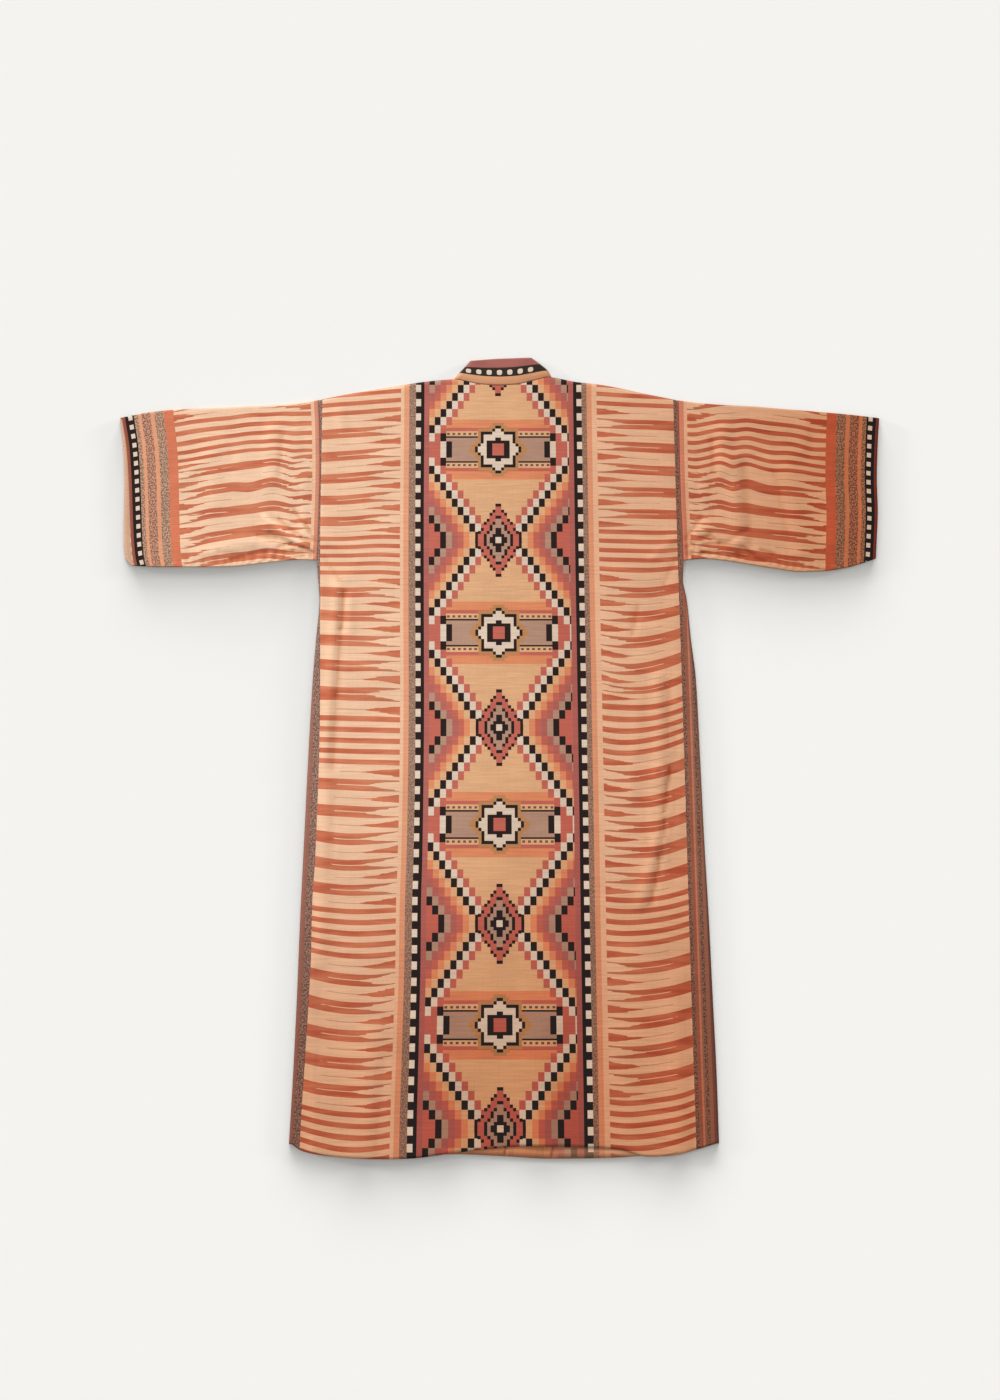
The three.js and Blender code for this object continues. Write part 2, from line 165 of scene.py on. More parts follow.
# %% [markdown]
# ## How the layers lie
# The cloth is a soft double weave about 1.2 mm thick as it shows here. The lower layer lies on the table,
# and the upper one just above it. At a side seam, a shoulder or a sleeve's edge the upper layer turns down
# in a small round, so that no edge hangs in the air.

# %% Levels of the layers, and how an edge turns
CLOTH = 1.2  # the cloth as it is drawn, inside the part's 1.6 mm wall
LOWER_TOP = 1.5
UPPER_TOP = 4.2  # also the radius of a turned edge
ARMPIT_Y = 295
SIDE_TURN_LENGTH = 40
NECK = (-68, 76)
NECK_FADE = 8
EDGE_CLEAR = 2.9
EDGE_STEPS = 6
STEP = 5.0  # between two rows of the back's mesh
LOWEST = 0.3  # no cloth lies nearer to the table


def side_turn(y):
    """How far the side seam is turned down: not at all at the armhole."""
    return smooth(ARMPIT_Y - y, 0, SIDE_TURN_LENGTH)


def shoulder_turn(x):
    """How far the shoulder is turned down: not at all along the neckline."""
    return np.where(x <= NECK[0], smooth(NECK[0] - x, 0, NECK_FADE), smooth(x - NECK[1], 0, NECK_FADE))


def turned(angle, turn):
    """Distance in from the outline, and height, at an angle round an edge. Flat cloth goes straight on."""
    flat = UPPER_TOP * (1 - angle / (math.pi / 2))
    inset = mixed(flat, UPPER_TOP * (1 - np.sin(angle)), turn)
    return inset, mixed(UPPER_TOP, UPPER_TOP * np.cos(angle), turn)


EDGE_ANGLES = np.linspace(math.pi / 2, 0, EDGE_STEPS + 1)


def edged_columns(count):
    """Share of the width, edge angle and side of each column, with a turned edge at both ends."""
    share, bend, ends = np.linspace(0, 1, count), EDGE_ANGLES[:-1], np.ones(EDGE_STEPS)
    return (
        np.concatenate([0 * ends, share, ends]),
        np.concatenate([bend, 0 * share, bend[::-1]]),
        np.concatenate([-ends, 0 * share, ends]),
    )


def edged(left, right, share, side, inset):
    """Where such columns lie between two outlines."""
    x = mixed(left + UPPER_TOP, right - UPPER_TOP, share)
    x = np.where(side < 0, left + inset, x)
    return np.where(side > 0, right - inset, x)


print("turned edge, mm:", UPPER_TOP, "in", EDGE_STEPS, "steps")

# %% [markdown]
# ## The folds
# A garment that was carried and laid down keeps soft folds. The large ones are the part's own, and are
# listed one by one: two long ones beside the side seams, waves that run up from the hem, short drags from
# each armpit and soft rounds across the sleeves. Here each has a narrow trough on its lee side, which
# makes it read as a crease and not as a pipe. No two have the same length, depth or spacing.

# %% Folds, creases and rumples
FOLDS = (  # x1, y1, x2, y2, half width, height
    (-247, 256, -264, 0, 11, 3.8), (-262, -20, -272, -300, 14, 2.2), (-190, -420, -205, -610, 22, 2.2),
    (-96, -330, -84, -600, 26, 1.6), (-241, 528, -238, 496, 9, 1.6), (236, 120, 240, -20, 12, 3),
    (240, -20, 236, -125, 11, 3.6), (236, -125, 211, -215, 11, 3.2), (270, 230, 274, 60, 13, 2.4),
    (262, -330, 270, -600, 18, 2.4), (60, -420, 66, -585, 28, 1.8), (-30, 150, -12, -190, 36, 1.2),
    (-422, 469, -426, 388, 18, 1.3), (-341, 491, -344, 418, 12, 2.4), (-284, 312, -347, 350, 10, 2.6),
    (-304, 306, -367, 324, 9, 2), (-482, 415, -434, 455, 12, 1.2), (-449, 304, -382, 322, 12, 2.6),
    (331, 491, 334, 436, 12, 2.8), (350, 446, 356, 318, 14, 3.0), (288, 312, 312, 348, 10, 1.7),
    (304, 304, 353, 318, 9, 1.5), (430, 433, 451, 313, 16, 2.4), (503, 470, 507, 330, 16, 1.8),
)
CREASES = (  # the same columns, for troughs beside the folds and for small creases
    (-234, 248, -238, 196, 5, -2.6), (-238, 196, -244, 96, 5, -1.5), (-244, 96, -246, 64, 5, -0.8),
    (-247, 52, -251, -14, 7, -1.5), (-226, 236, -224, 190, 6, 1.2), (-250, -60, -254, -150, 5, -0.8),
    (252, 112, 253, 20, 5, -1.0), (254, -14, 247, -78, 4, -2.4), (247, -92, 238, -150, 4, -2.2),
    (240, -150, 226, -218, 4, -2.0), (228, -20, 224, -110, 7, 1.0), (206, 90, 196, -60, 9, 1.1),
    (264, 72, 259, -104, 4.5, -0.8), (-176, -452, -186, -604, 8, -0.9), (280, -380, 287, -590, 7, -0.9),
    (-278, 300, -332, 313, 4, -1.4), (-279, 308, -344, 338, 4, -1.4),
    (-278, 316, -330, 358, 4, -1.2), (-276, 326, -308, 372, 4, -1.0), (-352, 300, -420, 309, 4, -1.4),
    (-296, 318, -352, 362, 5, 1.4), (366, 440, 376, 322, 9, -1.2), (318, 478, 321, 428, 5, -0.9),
    (-326, 482, -330, 424, 5, -0.8), (279, 306, 322, 312, 4, -1.8), (280, 316, 316, 336, 4, -1.3),
    (279, 328, 302, 362, 4, -1.1), (330, 300, 384, 306, 4, -1.6), (336, 322, 372, 344, 5, -1.2),
    (412, 428, 432, 330, 7, -0.9), (-100, 520, -128, 470, 9, 0.7),
    (110, 528, 96, 452, 10, 0.8), (-256, 330, -214, 300, 7, 1.1), (262, 332, 226, 300, 7, 1.1),
    (150, 250, 172, 120, 16, 0.7), (-150, 60, -164, -120, 18, 0.7), (120, -210, 104, -380, 20, 0.8),
    (-20, -300, -36, -470, 22, 0.7), (-262, 300, -240, 268, 5, -1.2), (264, 300, 246, 262, 5, -1.2),
    (470, 500, 462, 452, 8, -0.8), (-505, 330, -497, 396, 9, -0.7), (206, 226, 199, 188, 5, -1.6),
)
CRUMPLES = (  # x, y, x, y of the sharp little creases that bunch at both armpits
    (288, 309, 289, 299), (286, 327, 293, 316), (296, 301, 307, 308), (307, 308, 326, 308),
    (306, 320, 330, 322), (330, 322, 362, 317), (350, 305, 366, 302), (366, 317, 380, 306),
    (300, 333, 322, 330), (281, 318, 282, 300), (384, 300, 398, 295), (392, 312, 412, 306),
    (-279, 309, -284, 299), (-293, 303, -307, 301), (-284, 309, -309, 311), (-309, 311, -334, 308),
    (-281, 309, -294, 316), (-294, 316, -312, 321), (-312, 321, -330, 318), (-349, 309, -375, 306),
    (-281, 326, -296, 331), (-334, 330, -362, 334), (-384, 302, -402, 298), (-283, 340, -290, 352),
)
CRUMPLE = (2.7, -1.5)  # half width and height
FOLD_LIMIT = 4.4
ARMHOLE_X = 272
RUMPLES = ((0.7, 95, 3), (0.35, 41, 5), (0.16, 17, 8))  # height, size and seed of the unevenness
GATHERS = 1.1  # the small folds that a sleeve has where it is sewn in
GATHERS_REACH = 60
HOLLOW_REACH = 6
LATTICE = 97


def ridges(x, y, folds):
    """Height of soft ridges, each a straight line from one place to another."""
    total = np.zeros(np.broadcast(x, y).shape)
    for x1, y1, x2, y2, width, height in folds:
        dx, dy = x2 - x1, y2 - y1
        t = np.clip(((x - x1) * dx + (y - y1) * dy) / (dx * dx + dy * dy), 0, 1)
        away = np.hypot(x - x1 - t * dx, y - y1 - t * dy)
        total = total + height * np.exp(-((away / width) ** 2))
    return total


def rumple(x, y, size, seed):
    """Soft unevenness of a given size: values drawn on a lattice, and eased between."""
    lattice = np.random.default_rng(seed).uniform(-1, 1, (LATTICE, LATTICE))
    gx, gy = x / size + LATTICE / 2, y / size + LATTICE / 2
    i, j = np.floor(gx).astype(int), np.floor(gy).astype(int)
    s, t = smooth(gx - i, 0, 1), smooth(gy - j, 0, 1)
    near, far = (
        mixed(lattice[i % LATTICE, row % LATTICE], lattice[(i + 1) % LATTICE, row % LATTICE], s)
        for row in (j, j + 1)
    )
    return mixed(near, far, t)


def relief(x, y):
    """Everything that stands above or below the upper layer's own level."""
    height = np.minimum(FOLD_LIMIT, ridges(x, y, FOLDS)) + ridges(x, y, CREASES)
    height = height + sum(high * rumple(x, y, size, seed) for high, size, seed in RUMPLES)
    out = np.maximum(np.abs(x) - ARMHOLE_X, 0)
    return height + GATHERS * rumple(x, y / 4, 12, 14) * smooth(out, 0, 8) * np.exp(-out / GATHERS_REACH)


def hollow(x, y):
    """How far a place lies below what is round it. It sets the painted shade at the bottom of a crease."""
    r = HOLLOW_REACH
    around = sum(relief(x + dx, y + dy) for dx, dy in ((r, 0), (-r, 0), (0, r), (0, -r))) / 4
    return around - relief(x, y)


print("folds and creases placed by hand:", len(FOLDS) + len(CREASES) + len(CRUMPLES))

# %% [markdown]
# ## Where each point is on the cloth
# A pattern belongs to the cloth and not to the table, so each point of a mesh keeps its place on the flat
# cut in an attribute called "cut": millimetres across from the pattern's middle, millimetres along it, and
# how many repeats of the stripes it is down. The cloth lies a little slanted, bowed and eased, which the
# tables give, so the stripes follow the way the real cloth lies.

# %% The cloth's own coordinates on the body
CHECK_REPEAT = 21.2  # one light and one dark square, at the neck
EASE = 0.00365  # the repeat grows by this, per millimetre of the way down
NECK_Y = 560
STRIPE_REPEATS = table(
    "repeat left right",
    (0, 577.5, 587), (1, 331.5, 340), (1.4087, 230, 234.5), (1.6831, 156, 159.5), (1.8203, 117.5, 122),
    (1.9575, 71.5, 94), (2, 58, 79), (3, -227, -210), (4, -530, -514), (5, -841, -824),
)
PATTERN_LIES = table(  # its middle, and how much wider than on the cut it lies to each side
    "y middle left right",
    (540, -2.25, 1.002, 1.0), (317, -1.6, 1.018, 1.022), (88, -0.7, 1.022, 1.047), (-150, 0, 1.052, 1.072),
    (-212, 0, 1.068, 1.079), (-300, 0.3, 1.078, 1.088), (-390, 0.6, 1.098, 1.098), (-452, 0.9, 1.114, 1.104),
    (-530, 1.2, 1.135, 1.113), (-600, 1.5, 1.15, 1.12),
)
STRIPES_LIE_LOWER = table(  # by this much, three fifths of the way out and at the outer edge
    "y left_mid left_out right_mid right_out",
    (500, 6, 9, 4, 6), (430, 5, 8, 4, 6), (386, 4, 6, 3, 5), (355, 2, 3, 1, 2), (297, 0, 0, 1, -1),
    (250, -2, -2.5, 4, -4), (215, -2, -3.5, 2.5, -8), (180, -2, -3.5, 2.5, -11), (140, -2, -4, 4, -12.5),
    (105, -2, -4, 5, -11), (78, -2, -4, 1.5, -12), (16, -1.5, -4, 0, -15), (-60, -0.5, -3.5, 1.5, -14),
    (-150, 4, -1, 0, -11.5), (-210, 2, -4, 0, -10.5), (-300, 2.5, -6, -1, -13), (-430, 3, -7, -1.5, -15),
    (-530, 3, -8.5, -1.5, -16.5), (-600, 3, -10, -1.5, -20),
)
FIELD_FROM = 146
FIELD_TO = 262
MIDDLE_SHARE = 0.6
PATTERN_TOP = -200  # above the neck, beyond all cloth
WANDER = 1.3  # no stripe is quite even


def body_cut(x, y):
    """Across, along and stripe repeats at a place on the flat body."""
    out = x - along(PATTERN_LIES, "y", y, "middle")
    wider = np.where(out < 0, along(PATTERN_LIES, "y", y, "left"), along(PATTERN_LIES, "y", y, "right"))
    across = out / wider
    down = np.maximum(NECK_Y - y, PATTERN_TOP)
    length = CHECK_REPEAT * np.log1p(EASE * down / CHECK_REPEAT) / EASE
    share = np.clip((np.abs(across) - FIELD_FROM) / (FIELD_TO - FIELD_FROM), 0, 1.1)
    repeat, rest = np.zeros(np.shape(across)), 1 - MIDDLE_SHARE
    for side, here in (("left", across < 0), ("right", across >= 0)):
        middle = along(STRIPES_LIE_LOWER, "y", y, side + "_mid") * (1 - share) / MIDDLE_SHARE
        outer = along(STRIPES_LIE_LOWER, "y", y, side + "_out") * (share - MIDDLE_SHARE)
        level = y + (middle + outer) * share / rest + WANDER * rumple(x, y, 52, 21)
        repeat = np.where(here, along(STRIPE_REPEATS, side, level, "repeat"), repeat)
    return np.stack([across, length, repeat], axis=-1)


print("stripe repeats down the left side:", STRIPE_REPEATS["repeat"].max())

# %% [markdown]
# ## From a grid of points to a piece of cloth
# A garment's panel is a sheet, so each piece is a grid of points on its outer face, joined by squares. The
# Solidify modifier gives it the cloth's thickness on the inner side, with the second material there, so
# the wrong side of the cloth can differ from the right side.


# %% The maker of pieces
def cloth_piece(name, points, cut, depth=None):
    """A piece of cloth from rows of points in millimetres, each with its place on the cut."""
    rows, columns = points.shape[:2]
    corner = np.arange(rows * columns).reshape(rows, columns)
    faces = np.stack([corner[:-1, :-1], corner[:-1, 1:], corner[1:, 1:], corner[1:, :-1]], axis=-1)
    mesh = bpy.data.meshes.new(name)
    mesh.from_pydata((points.reshape(-1, 3) * MM).tolist(), [], faces.reshape(-1, 4).tolist())
    # Each point's depth in a crease goes to the finish, which paints shade with it.
    lie = np.zeros(points.shape) if depth is None else np.stack([depth, 0 * depth, 0 * depth], axis=-1)
    for attribute, values in (("cut", cut), ("hollow", lie)):
        places = mesh.attributes.new(attribute, "FLOAT_VECTOR", "POINT")
        places.data.foreach_set("vector", values.astype(np.float32).ravel())
    mesh.shade_smooth()
    piece = bpy.data.objects.new(name, mesh)
    bpy.context.scene.collection.objects.link(piece)
    wall = piece.modifiers.new("thickness", "SOLIDIFY")
    wall.thickness = CLOTH * MM
    wall.offset = -1
    wall.material_offset = 1
    print(name, "points:", rows * columns)
    return piece


def flat_area(points):
    """Area inside the outline of a grid that lies flat, in square metres."""
    rim = np.concatenate([points[0], points[1:, -1], points[-1, -2::-1], points[-2:0:-1, 0]])
    x, y = rim[:, 0] * MM, rim[:, 1] * MM
    return 0.5 * abs(np.sum(x * np.roll(y, -1) - y * np.roll(x, -1)))


# %% [markdown]
# ## The back
# The back is one panel from hem to shoulders. Its side seams turn down to the table below the armpits.
# Along the armholes the cloth dips into the seam, and for the last 18 mm above the hem the doubled edge
# sinks onto the fronts under it.

# %% Back
BODY_LENGTH = 1150
HEM_DEPTH = 18
HEM_SINK = 0.5
SEAM_DIP = 0.9
SEAM_DIP_WIDTH = 4.0
FOLD_MASK = 30
BACK_LOWEST = 0.2


def steps(low, high, spacing):
    """Evenly spaced values, both ends included."""
    return np.linspace(low, high, 1 + max(1, round(abs(high - low) / spacing)))


def seam_dip(away):
    """How deep cloth dips where it is sewn on, at a distance from the seam."""
    return SEAM_DIP * np.exp(-((away / SEAM_DIP_WIDTH) ** 2))


def back_grid():
    """Points, cut places and hollows of the back's outer face."""
    left, right = SIDES["left"][-1], SIDES["right"][-1]
    share, column_angle, column_side = edged_columns(1 + round((right - left - 2 * UPPER_TOP) / STEP))
    hem = along(BACK_HEM, "x", mixed(BACK_HEM["x"][0], BACK_HEM["x"][-1], share), "y")
    column_x = edged(left, right, share, column_side, 0)
    top, over = along(TOP_LINE, "x", column_x, "y"), shoulder_turn(column_x)
    row_list = [(level, 0.0) for level in steps(0, 1, STEP / BODY_LENGTH)]
    row_list += [(1.0, angle) for angle in EDGE_ANGLES[:-1][::-1]]
    rows = []
    for level, angle in row_list:
        inset, drop = turned(angle, over)
        y = mixed(hem, top - UPPER_TOP, level) if angle == 0 else top - inset
        turn = side_turn(y)
        edge_left, edge_right = along(SIDES, "y", y, "left"), along(SIDES, "y", y, "right")
        side_inset, side_height = turned(column_angle, turn)
        x = edged(edge_left, edge_right, share, column_side, side_inset)
        to_side = np.minimum(x - edge_left, edge_right - x)
        mask = 1 - turn * (1 - smooth(to_side - UPPER_TOP, 0, FOLD_MASK))
        mask = mask * (1 - over * (1 - smooth(top - y - UPPER_TOP, 0, FOLD_MASK)))
        z = side_height * drop / UPPER_TOP + mask * relief(x, y) - (1 - turn) * seam_dip(to_side)
        z -= HEM_SINK * (1 - smooth(y - hem, 0, HEM_DEPTH)) * (column_angle == 0)
        wrap = turn * (UPPER_TOP * column_angle - (UPPER_TOP - side_inset))
        wrap_top = over * (UPPER_TOP * angle - (UPPER_TOP - inset)) if angle else 0 * y
        place = np.stack([x, y, np.maximum(z, BACK_LOWEST)], axis=-1)
        rows.append((place, body_cut(x + column_side * wrap, y + wrap_top), mask * hollow(x, y)))
    return [np.array(values) for values in zip(*rows)]


points, *places = back_grid()
cloths = {"back": (cloth_piece("back_cloth", points, *places), flat_area(points))}  # by node, with its area
back_size, back_area = np.ptp(points.reshape(-1, 3), axis=0), cloths["back"][1]
print("back, mm:", np.round(back_size, 1), "area, m2:", round(back_area, 3))

# %% [markdown]
# ## The two fronts and their bands
# They lie face down on the table, so their wrong side is up. Only a few millimetres of them show below the
# back's hem, but they are whole, because the garment may be seen from below. Each front band runs down
# beside the opening, and both were cut with the same smooth outlines as the part has.

# %% Fronts and front bands
FRONT_STEP = 9.0
FRONT_COLUMNS = 29
BAND_COLUMNS = 15
CLEAR_START = 18
SEAM_GAP = 0.15
COLLAR_CLEAR = 4.6
LOWER_UNEVEN = 0.2
LOWER_FINE = 0.12


def lower_relief(x, y):
    """Small unevenness of the layer that lies on the table: it can only rise a little."""
    return LOWER_UNEVEN * (1 + rumple(x, y, 60, 31)) + np.maximum(0, LOWER_FINE * rumple(x, y, 16, 33))


def laid_panel(start, end, columns, top):
    """Points of a panel on the table, between two outlines and from the hem up to its top."""
    share = np.linspace(0, 1, columns)[None, :]
    level = steps(0, 1, FRONT_STEP / BODY_LENGTH)[:, None]
    hem_x = mixed(start(SIDES["y"][0]), end(SIDES["y"][0]), share)
    y = mixed(along(FRONT_HEM, "x", hem_x, "y"), top(share), level)
    x = mixed(start(y), end(y), share)
    return np.stack([x, y, LOWER_TOP + lower_relief(x, y)], axis=-1)


def front_grid(side):
    """Points and cut places of a front's upper face, which is the wrong side of its cloth."""

    def edge(y):
        drawn_in = EDGE_CLEAR * smooth(ARMPIT_Y + CLEAR_START - y, 0, SIDE_TURN_LENGTH / 2)
        return along(SIDES, "y", y, side) - SIGN[side] * drawn_in

    def seam(y):
        return along(BAND_SEAM, "y", y, side) + SIGN[side] * SEAM_GAP

    def top(share):
        top_x = mixed(edge(SIDES["y"][-1]), seam(SIDES["y"][-1]), share)
        return along(TOP_LINE, "x", top_x, "y") - EDGE_CLEAR

    points = laid_panel(edge, seam, FRONT_COLUMNS, top)[:, ::-SIGN[side]]
    return points, body_cut(points[..., 0], points[..., 1])


def band_grid(side):
    """Points and cut places of a front band: across is along its length, along is from its seam."""

    def edge(y):
        return along(BAND_EDGE, "y", y, side) + SIGN[side] * SEAM_GAP

    def seam(y):
        return along(BAND_SEAM, "y", y, side) - SIGN[side] * SEAM_GAP

    def top(share):
        neck = along(TOP_LINE, "x", NECK[0] if side == "left" else NECK[1], "y")
        return mixed(neck, BAND_EDGE["y"][-1], share) - COLLAR_CLEAR

    points = laid_panel(seam, edge, BAND_COLUMNS, top)[:, ::-SIGN[side]]
    x, y = points[..., 0], points[..., 1]
    return points, np.stack([NECK_Y - y, np.abs(x - seam(y)), 0 * x], axis=-1)


for side in ("left", "right"):
    for kind, node, grid in (("front", "front", front_grid), ("band", "front_band", band_grid)):
        points, places = grid(side)
        cloths[f"{node}_{side}"] = (cloth_piece(f"{kind}_{side}_cloth", points, places), flat_area(points))

# %% [markdown]
# ## The sleeves
# A sleeve is a short straight tube that lies flat. It is folded along its top and sewn under the arm, so
# the grid starts and ends at that seam. Its upper half has the drags from the armpit and small puckers
# where the seam draws the cloth in. Around the cuff the upper and the lower half don't quite line up.

# %% Sleeves
SLEEVE_LENGTH = 290
SLEEVE_ROUND = 0.492  # metres, the whole way round
SLEEVE_PANELS = {"left": 0.288, "right": 0.292}  # metres along the middle
SLEEVE_TAPER = 0.98  # what its slanted cuff and armhole leave of the rectangle
SLEEVE_STEP = 2.4
SLEEVE_DEPTH = 240
PUCKER_PITCH = 13
PUCKER_DRIFT = 5  # radians that their pitch drifts
PUCKER_HEIGHT = 0.8
PUCKER_GATHERED = (1.2, 45)  # how much higher beside the armhole, and how far from it
PUCKER_FADE = 8
SMALL_SHADE = 0.8
SLEEVE_WANDER = 1.6
PULLED_STRIPES = {  # x, y, how far it reaches each way, and how much lower the stripes lie there
    "left": ((-338, 430, 17, 70, -3.2), (-309, 420, 12, 70, 2.4), (-372, 400, 16, 60, 1.5)),
    "right": (
        (329, 430, 13, 70, -4.5), (350, 420, 9, 60, 1.8), (371, 430, 14, 70, -3), (293, 420, 15, 80, 3.5),
        (410, 440, 18, 60, 2),
    ),
}
STRIPE_LEVELS = {
    "left": table(
        "y repeat", (560, -0.186), (515.25, 0), (462.75, 0.2192), (441.75, 0.3401), (306.75, 0.889),
        (279.75, 1),
    ),
    "right": table(
        "y repeat", (560, -0.183), (504.75, 0), (438.75, 0.219), (408.75, 0.3401), (305.25, 0.7517),
        (242, 1),
    ),
}
SLEEVE_STRIPES_LIE_LOWER = {
    "left": table(
        "reach top under", (0, -3, 9), (0.03, -2, 7), (0.294, 0, 0), (0.43, 3.3, 4.5), (0.57, 8, 11),
        (0.72, 15, 19), (1, 22, 26),
    ),
    "right": table(
        "reach top under", (0, 9, -16), (0.04, 7.5, -14), (0.325, 0, 0), (0.454, 3, 5), (0.61, 9, 10),
        (0.686, 14, 12), (1, 22, 16),
    ),
}


def sleeve_section():
    """Once round the flattened tube from the underarm seam: share of its width, and layer from 0 to 1."""
    low = np.linspace(0, 1, round(SLEEVE_DEPTH / (2 * SLEEVE_STEP)))
    high = np.linspace(1, 0, round(SLEEVE_DEPTH / SLEEVE_STEP))
    half = np.linspace(0, 1, 2 * EDGE_STEPS + 1)
    first, last = half[EDGE_STEPS:0:-1], half[-2:EDGE_STEPS - 1:-1]
    share = np.concatenate([0 * first, low, 0 * half[1:-1] + 1, high, 0 * last])
    layer = np.concatenate([first, 0 * low, half[1:-1], 0 * high + 1, last])
    return share[None, :], layer[None, :]


def puckers(x, y, above_seam):
    """Small ridges that stand on the underarm seam, highest beside the armhole, and no two alike."""
    phase = 2 * math.pi * np.abs(x) / PUCKER_PITCH + PUCKER_DRIFT * rumple(x, y / 3, 36, 12)
    height = PUCKER_HEIGHT * (1 + rumple(x, y / 3, 29, 15))
    more, reach = PUCKER_GATHERED
    height = height * (1 + more * np.exp(-np.maximum(np.abs(x) - ARMHOLE_X, 0) / reach))
    fade = np.exp(-np.maximum(above_seam, 0) / PUCKER_FADE) * smooth(above_seam, 1, 4)
    return np.sin(phase) * height * fade


def sleeve_cut(side, x, y, top, under, reach, beyond):
    """Places on a sleeve's cut: across is from the cuff, along is down from the top fold."""
    down = np.clip((top - y) / (top - under), 0, 1)
    lies = SLEEVE_STRIPES_LIE_LOWER[side]
    lower = mixed(along(lies, "reach", reach, "top"), along(lies, "reach", reach, "under"), down)
    for pull_x, pull_y, reach_x, reach_y, by in PULLED_STRIPES[side]:
        lower = lower + by * np.exp(-(((x - pull_x) / reach_x) ** 2) - ((y - pull_y) / reach_y) ** 2)
    level = y + lower + SLEEVE_WANDER * rumple(x, y, 30, 23)
    repeat = along(STRIPE_LEVELS[side], "y", level, "repeat")
    top_repeat = along(STRIPE_LEVELS[side], "y", top + lower, "repeat")
    repeat = np.where(beyond, 2 * top_repeat - repeat, repeat)
    from_cuff = (1 - reach) * SLEEVE_LENGTH + 0 * y
    return np.stack([from_cuff, np.where(beyond, y - top, top - y), repeat], axis=-1)


def sleeve_grid(side):
    """Points, cut places and hollows of a sleeve's outer face."""
    edges, cuffs = SLEEVES[side], CUFFS[side]
    share, layer = sleeve_section()
    reach = steps(0, 1, SLEEVE_STEP / SLEEVE_LENGTH)[:, None]
    radius = UPPER_TOP / 2
    middle_x = mixed(edges["x"][0], edges["x"][-1], reach)
    top, under = along(edges, "x", middle_x, "top"), along(edges, "x", middle_x, "under")
    round_edge = radius * np.sin(layer * math.pi)
    y = mixed(under + radius, top - radius, share) + np.where(share > 0.5, 1, -1) * round_edge
    cuff_x = mixed(along(cuffs, "y", y, "front"), along(cuffs, "y", y, "back"), layer)
    armhole_x = along(SIDES, "y", y, side)
    x = mixed(armhole_x + 2 * SIGN[side] * SEAM_GAP, cuff_x, reach)
    to_edge = np.minimum(top - y, y - under) - radius
    mask = smooth(to_edge, 0, FOLD_MASK) * (layer == 1)
    crumples = ridges(x, y, [(*line, *CRUMPLE) for line in CRUMPLES]) * smooth(to_edge, -1, 4)
    small = (puckers(x, y, y - under) + crumples) * (layer == 1)
    z = radius - radius * np.cos(layer * math.pi) + mask * relief(x, y) + small
    z -= seam_dip(x - armhole_x) * smooth(layer, 0.5, 1)
    return (
        np.stack([x, y, np.maximum(z, LOWEST)], axis=-1),
        sleeve_cut(side, x, y, top, under, reach, layer < 0.5),
        mask * hollow(x, y) - SMALL_SHADE * small,
    )


for side, length in SLEEVE_PANELS.items():
    grids = sleeve_grid(side)
    piece = cloth_piece(f"sleeve_{side}_cloth", *(grid[:, ::SIGN[side]] for grid in grids))
    cloths[f"sleeve_{side}"] = (piece, SLEEVE_TAPER * SLEEVE_ROUND * length)
    print(side, "sleeve's cuff, mm:", round(float(np.abs(grids[0][..., 0]).max()), 1))

# %% [markdown]
# ## The back of the collar
# The neck band stands on from the neckline and lies flat behind it. It is folded double along its free
# edge, which sinks to the table in the middle. Its two ends turn down and run on into the front bands.

# %% Collar
COLLAR_HEIGHT = 38
COLLAR_ROWS = 17
COLLAR_COLUMNS = 61
COLLAR_SAG = (14, 38)
COLLAR_ROUND = 0.8
COLLAR_UNEVEN = 0.25
NECK_SEAM_GAP = 0.5


def collar_grid():
    """Points and cut places of the collar: across from the middle, along up from its seam."""
    rise = np.linspace(0, 1, COLLAR_ROWS)[:, None]
    share, angle, side = (values[None, :] for values in edged_columns(COLLAR_COLUMNS))
    left, right = along(COLLAR_ENDS, "rise", rise, "left"), along(COLLAR_ENDS, "rise", rise, "right")
    inset, height = turned(angle, 1.0)
    x = edged(left, right, share, side, inset)
    part = (x - left) / (right - left)
    foot = along(TOP_LINE, "x", mixed(left[0, 0], right[0, 0], part), "y") + NECK_SEAM_GAP
    edge_x = mixed(COLLAR_EDGE["x"][0], COLLAR_EDGE["x"][-1], part)
    y = mixed(foot, along(COLLAR_EDGE, "x", edge_x, "y"), rise)
    sag = (UPPER_TOP - LOWER_TOP) * rise ** 2 * (1 - smooth(np.abs(x), *COLLAR_SAG))
    rounded = COLLAR_ROUND * np.sin(math.pi * rise) * (angle == 0)
    z = height - sag + rounded - seam_dip(rise * COLLAR_HEIGHT) + COLLAR_UNEVEN * rumple(x, y, 22, 41)
    points = np.stack([x, y, np.maximum(z, LOWEST)], axis=-1)
    return points, np.stack([x, rise * COLLAR_HEIGHT + 0 * x, 0 * x], axis=-1)


points, places = collar_grid()
cloths["collar_back"] = (cloth_piece("collar_cloth", points, places), flat_area(points))

# %% [markdown]
# ## One function for all nodes
# Each finish below is a small network of nodes, and `add` adds every one of them. What feeds the node comes
# first, in the order of its sockets, and its settings follow. A maths node is named together with what it
# works out, such as "Math ADD". A colour is written as the sRGB hex value that the eye sees, and is turned
# to the linear value that Blender mixes. `dyed` lays a yarn's colour over another.

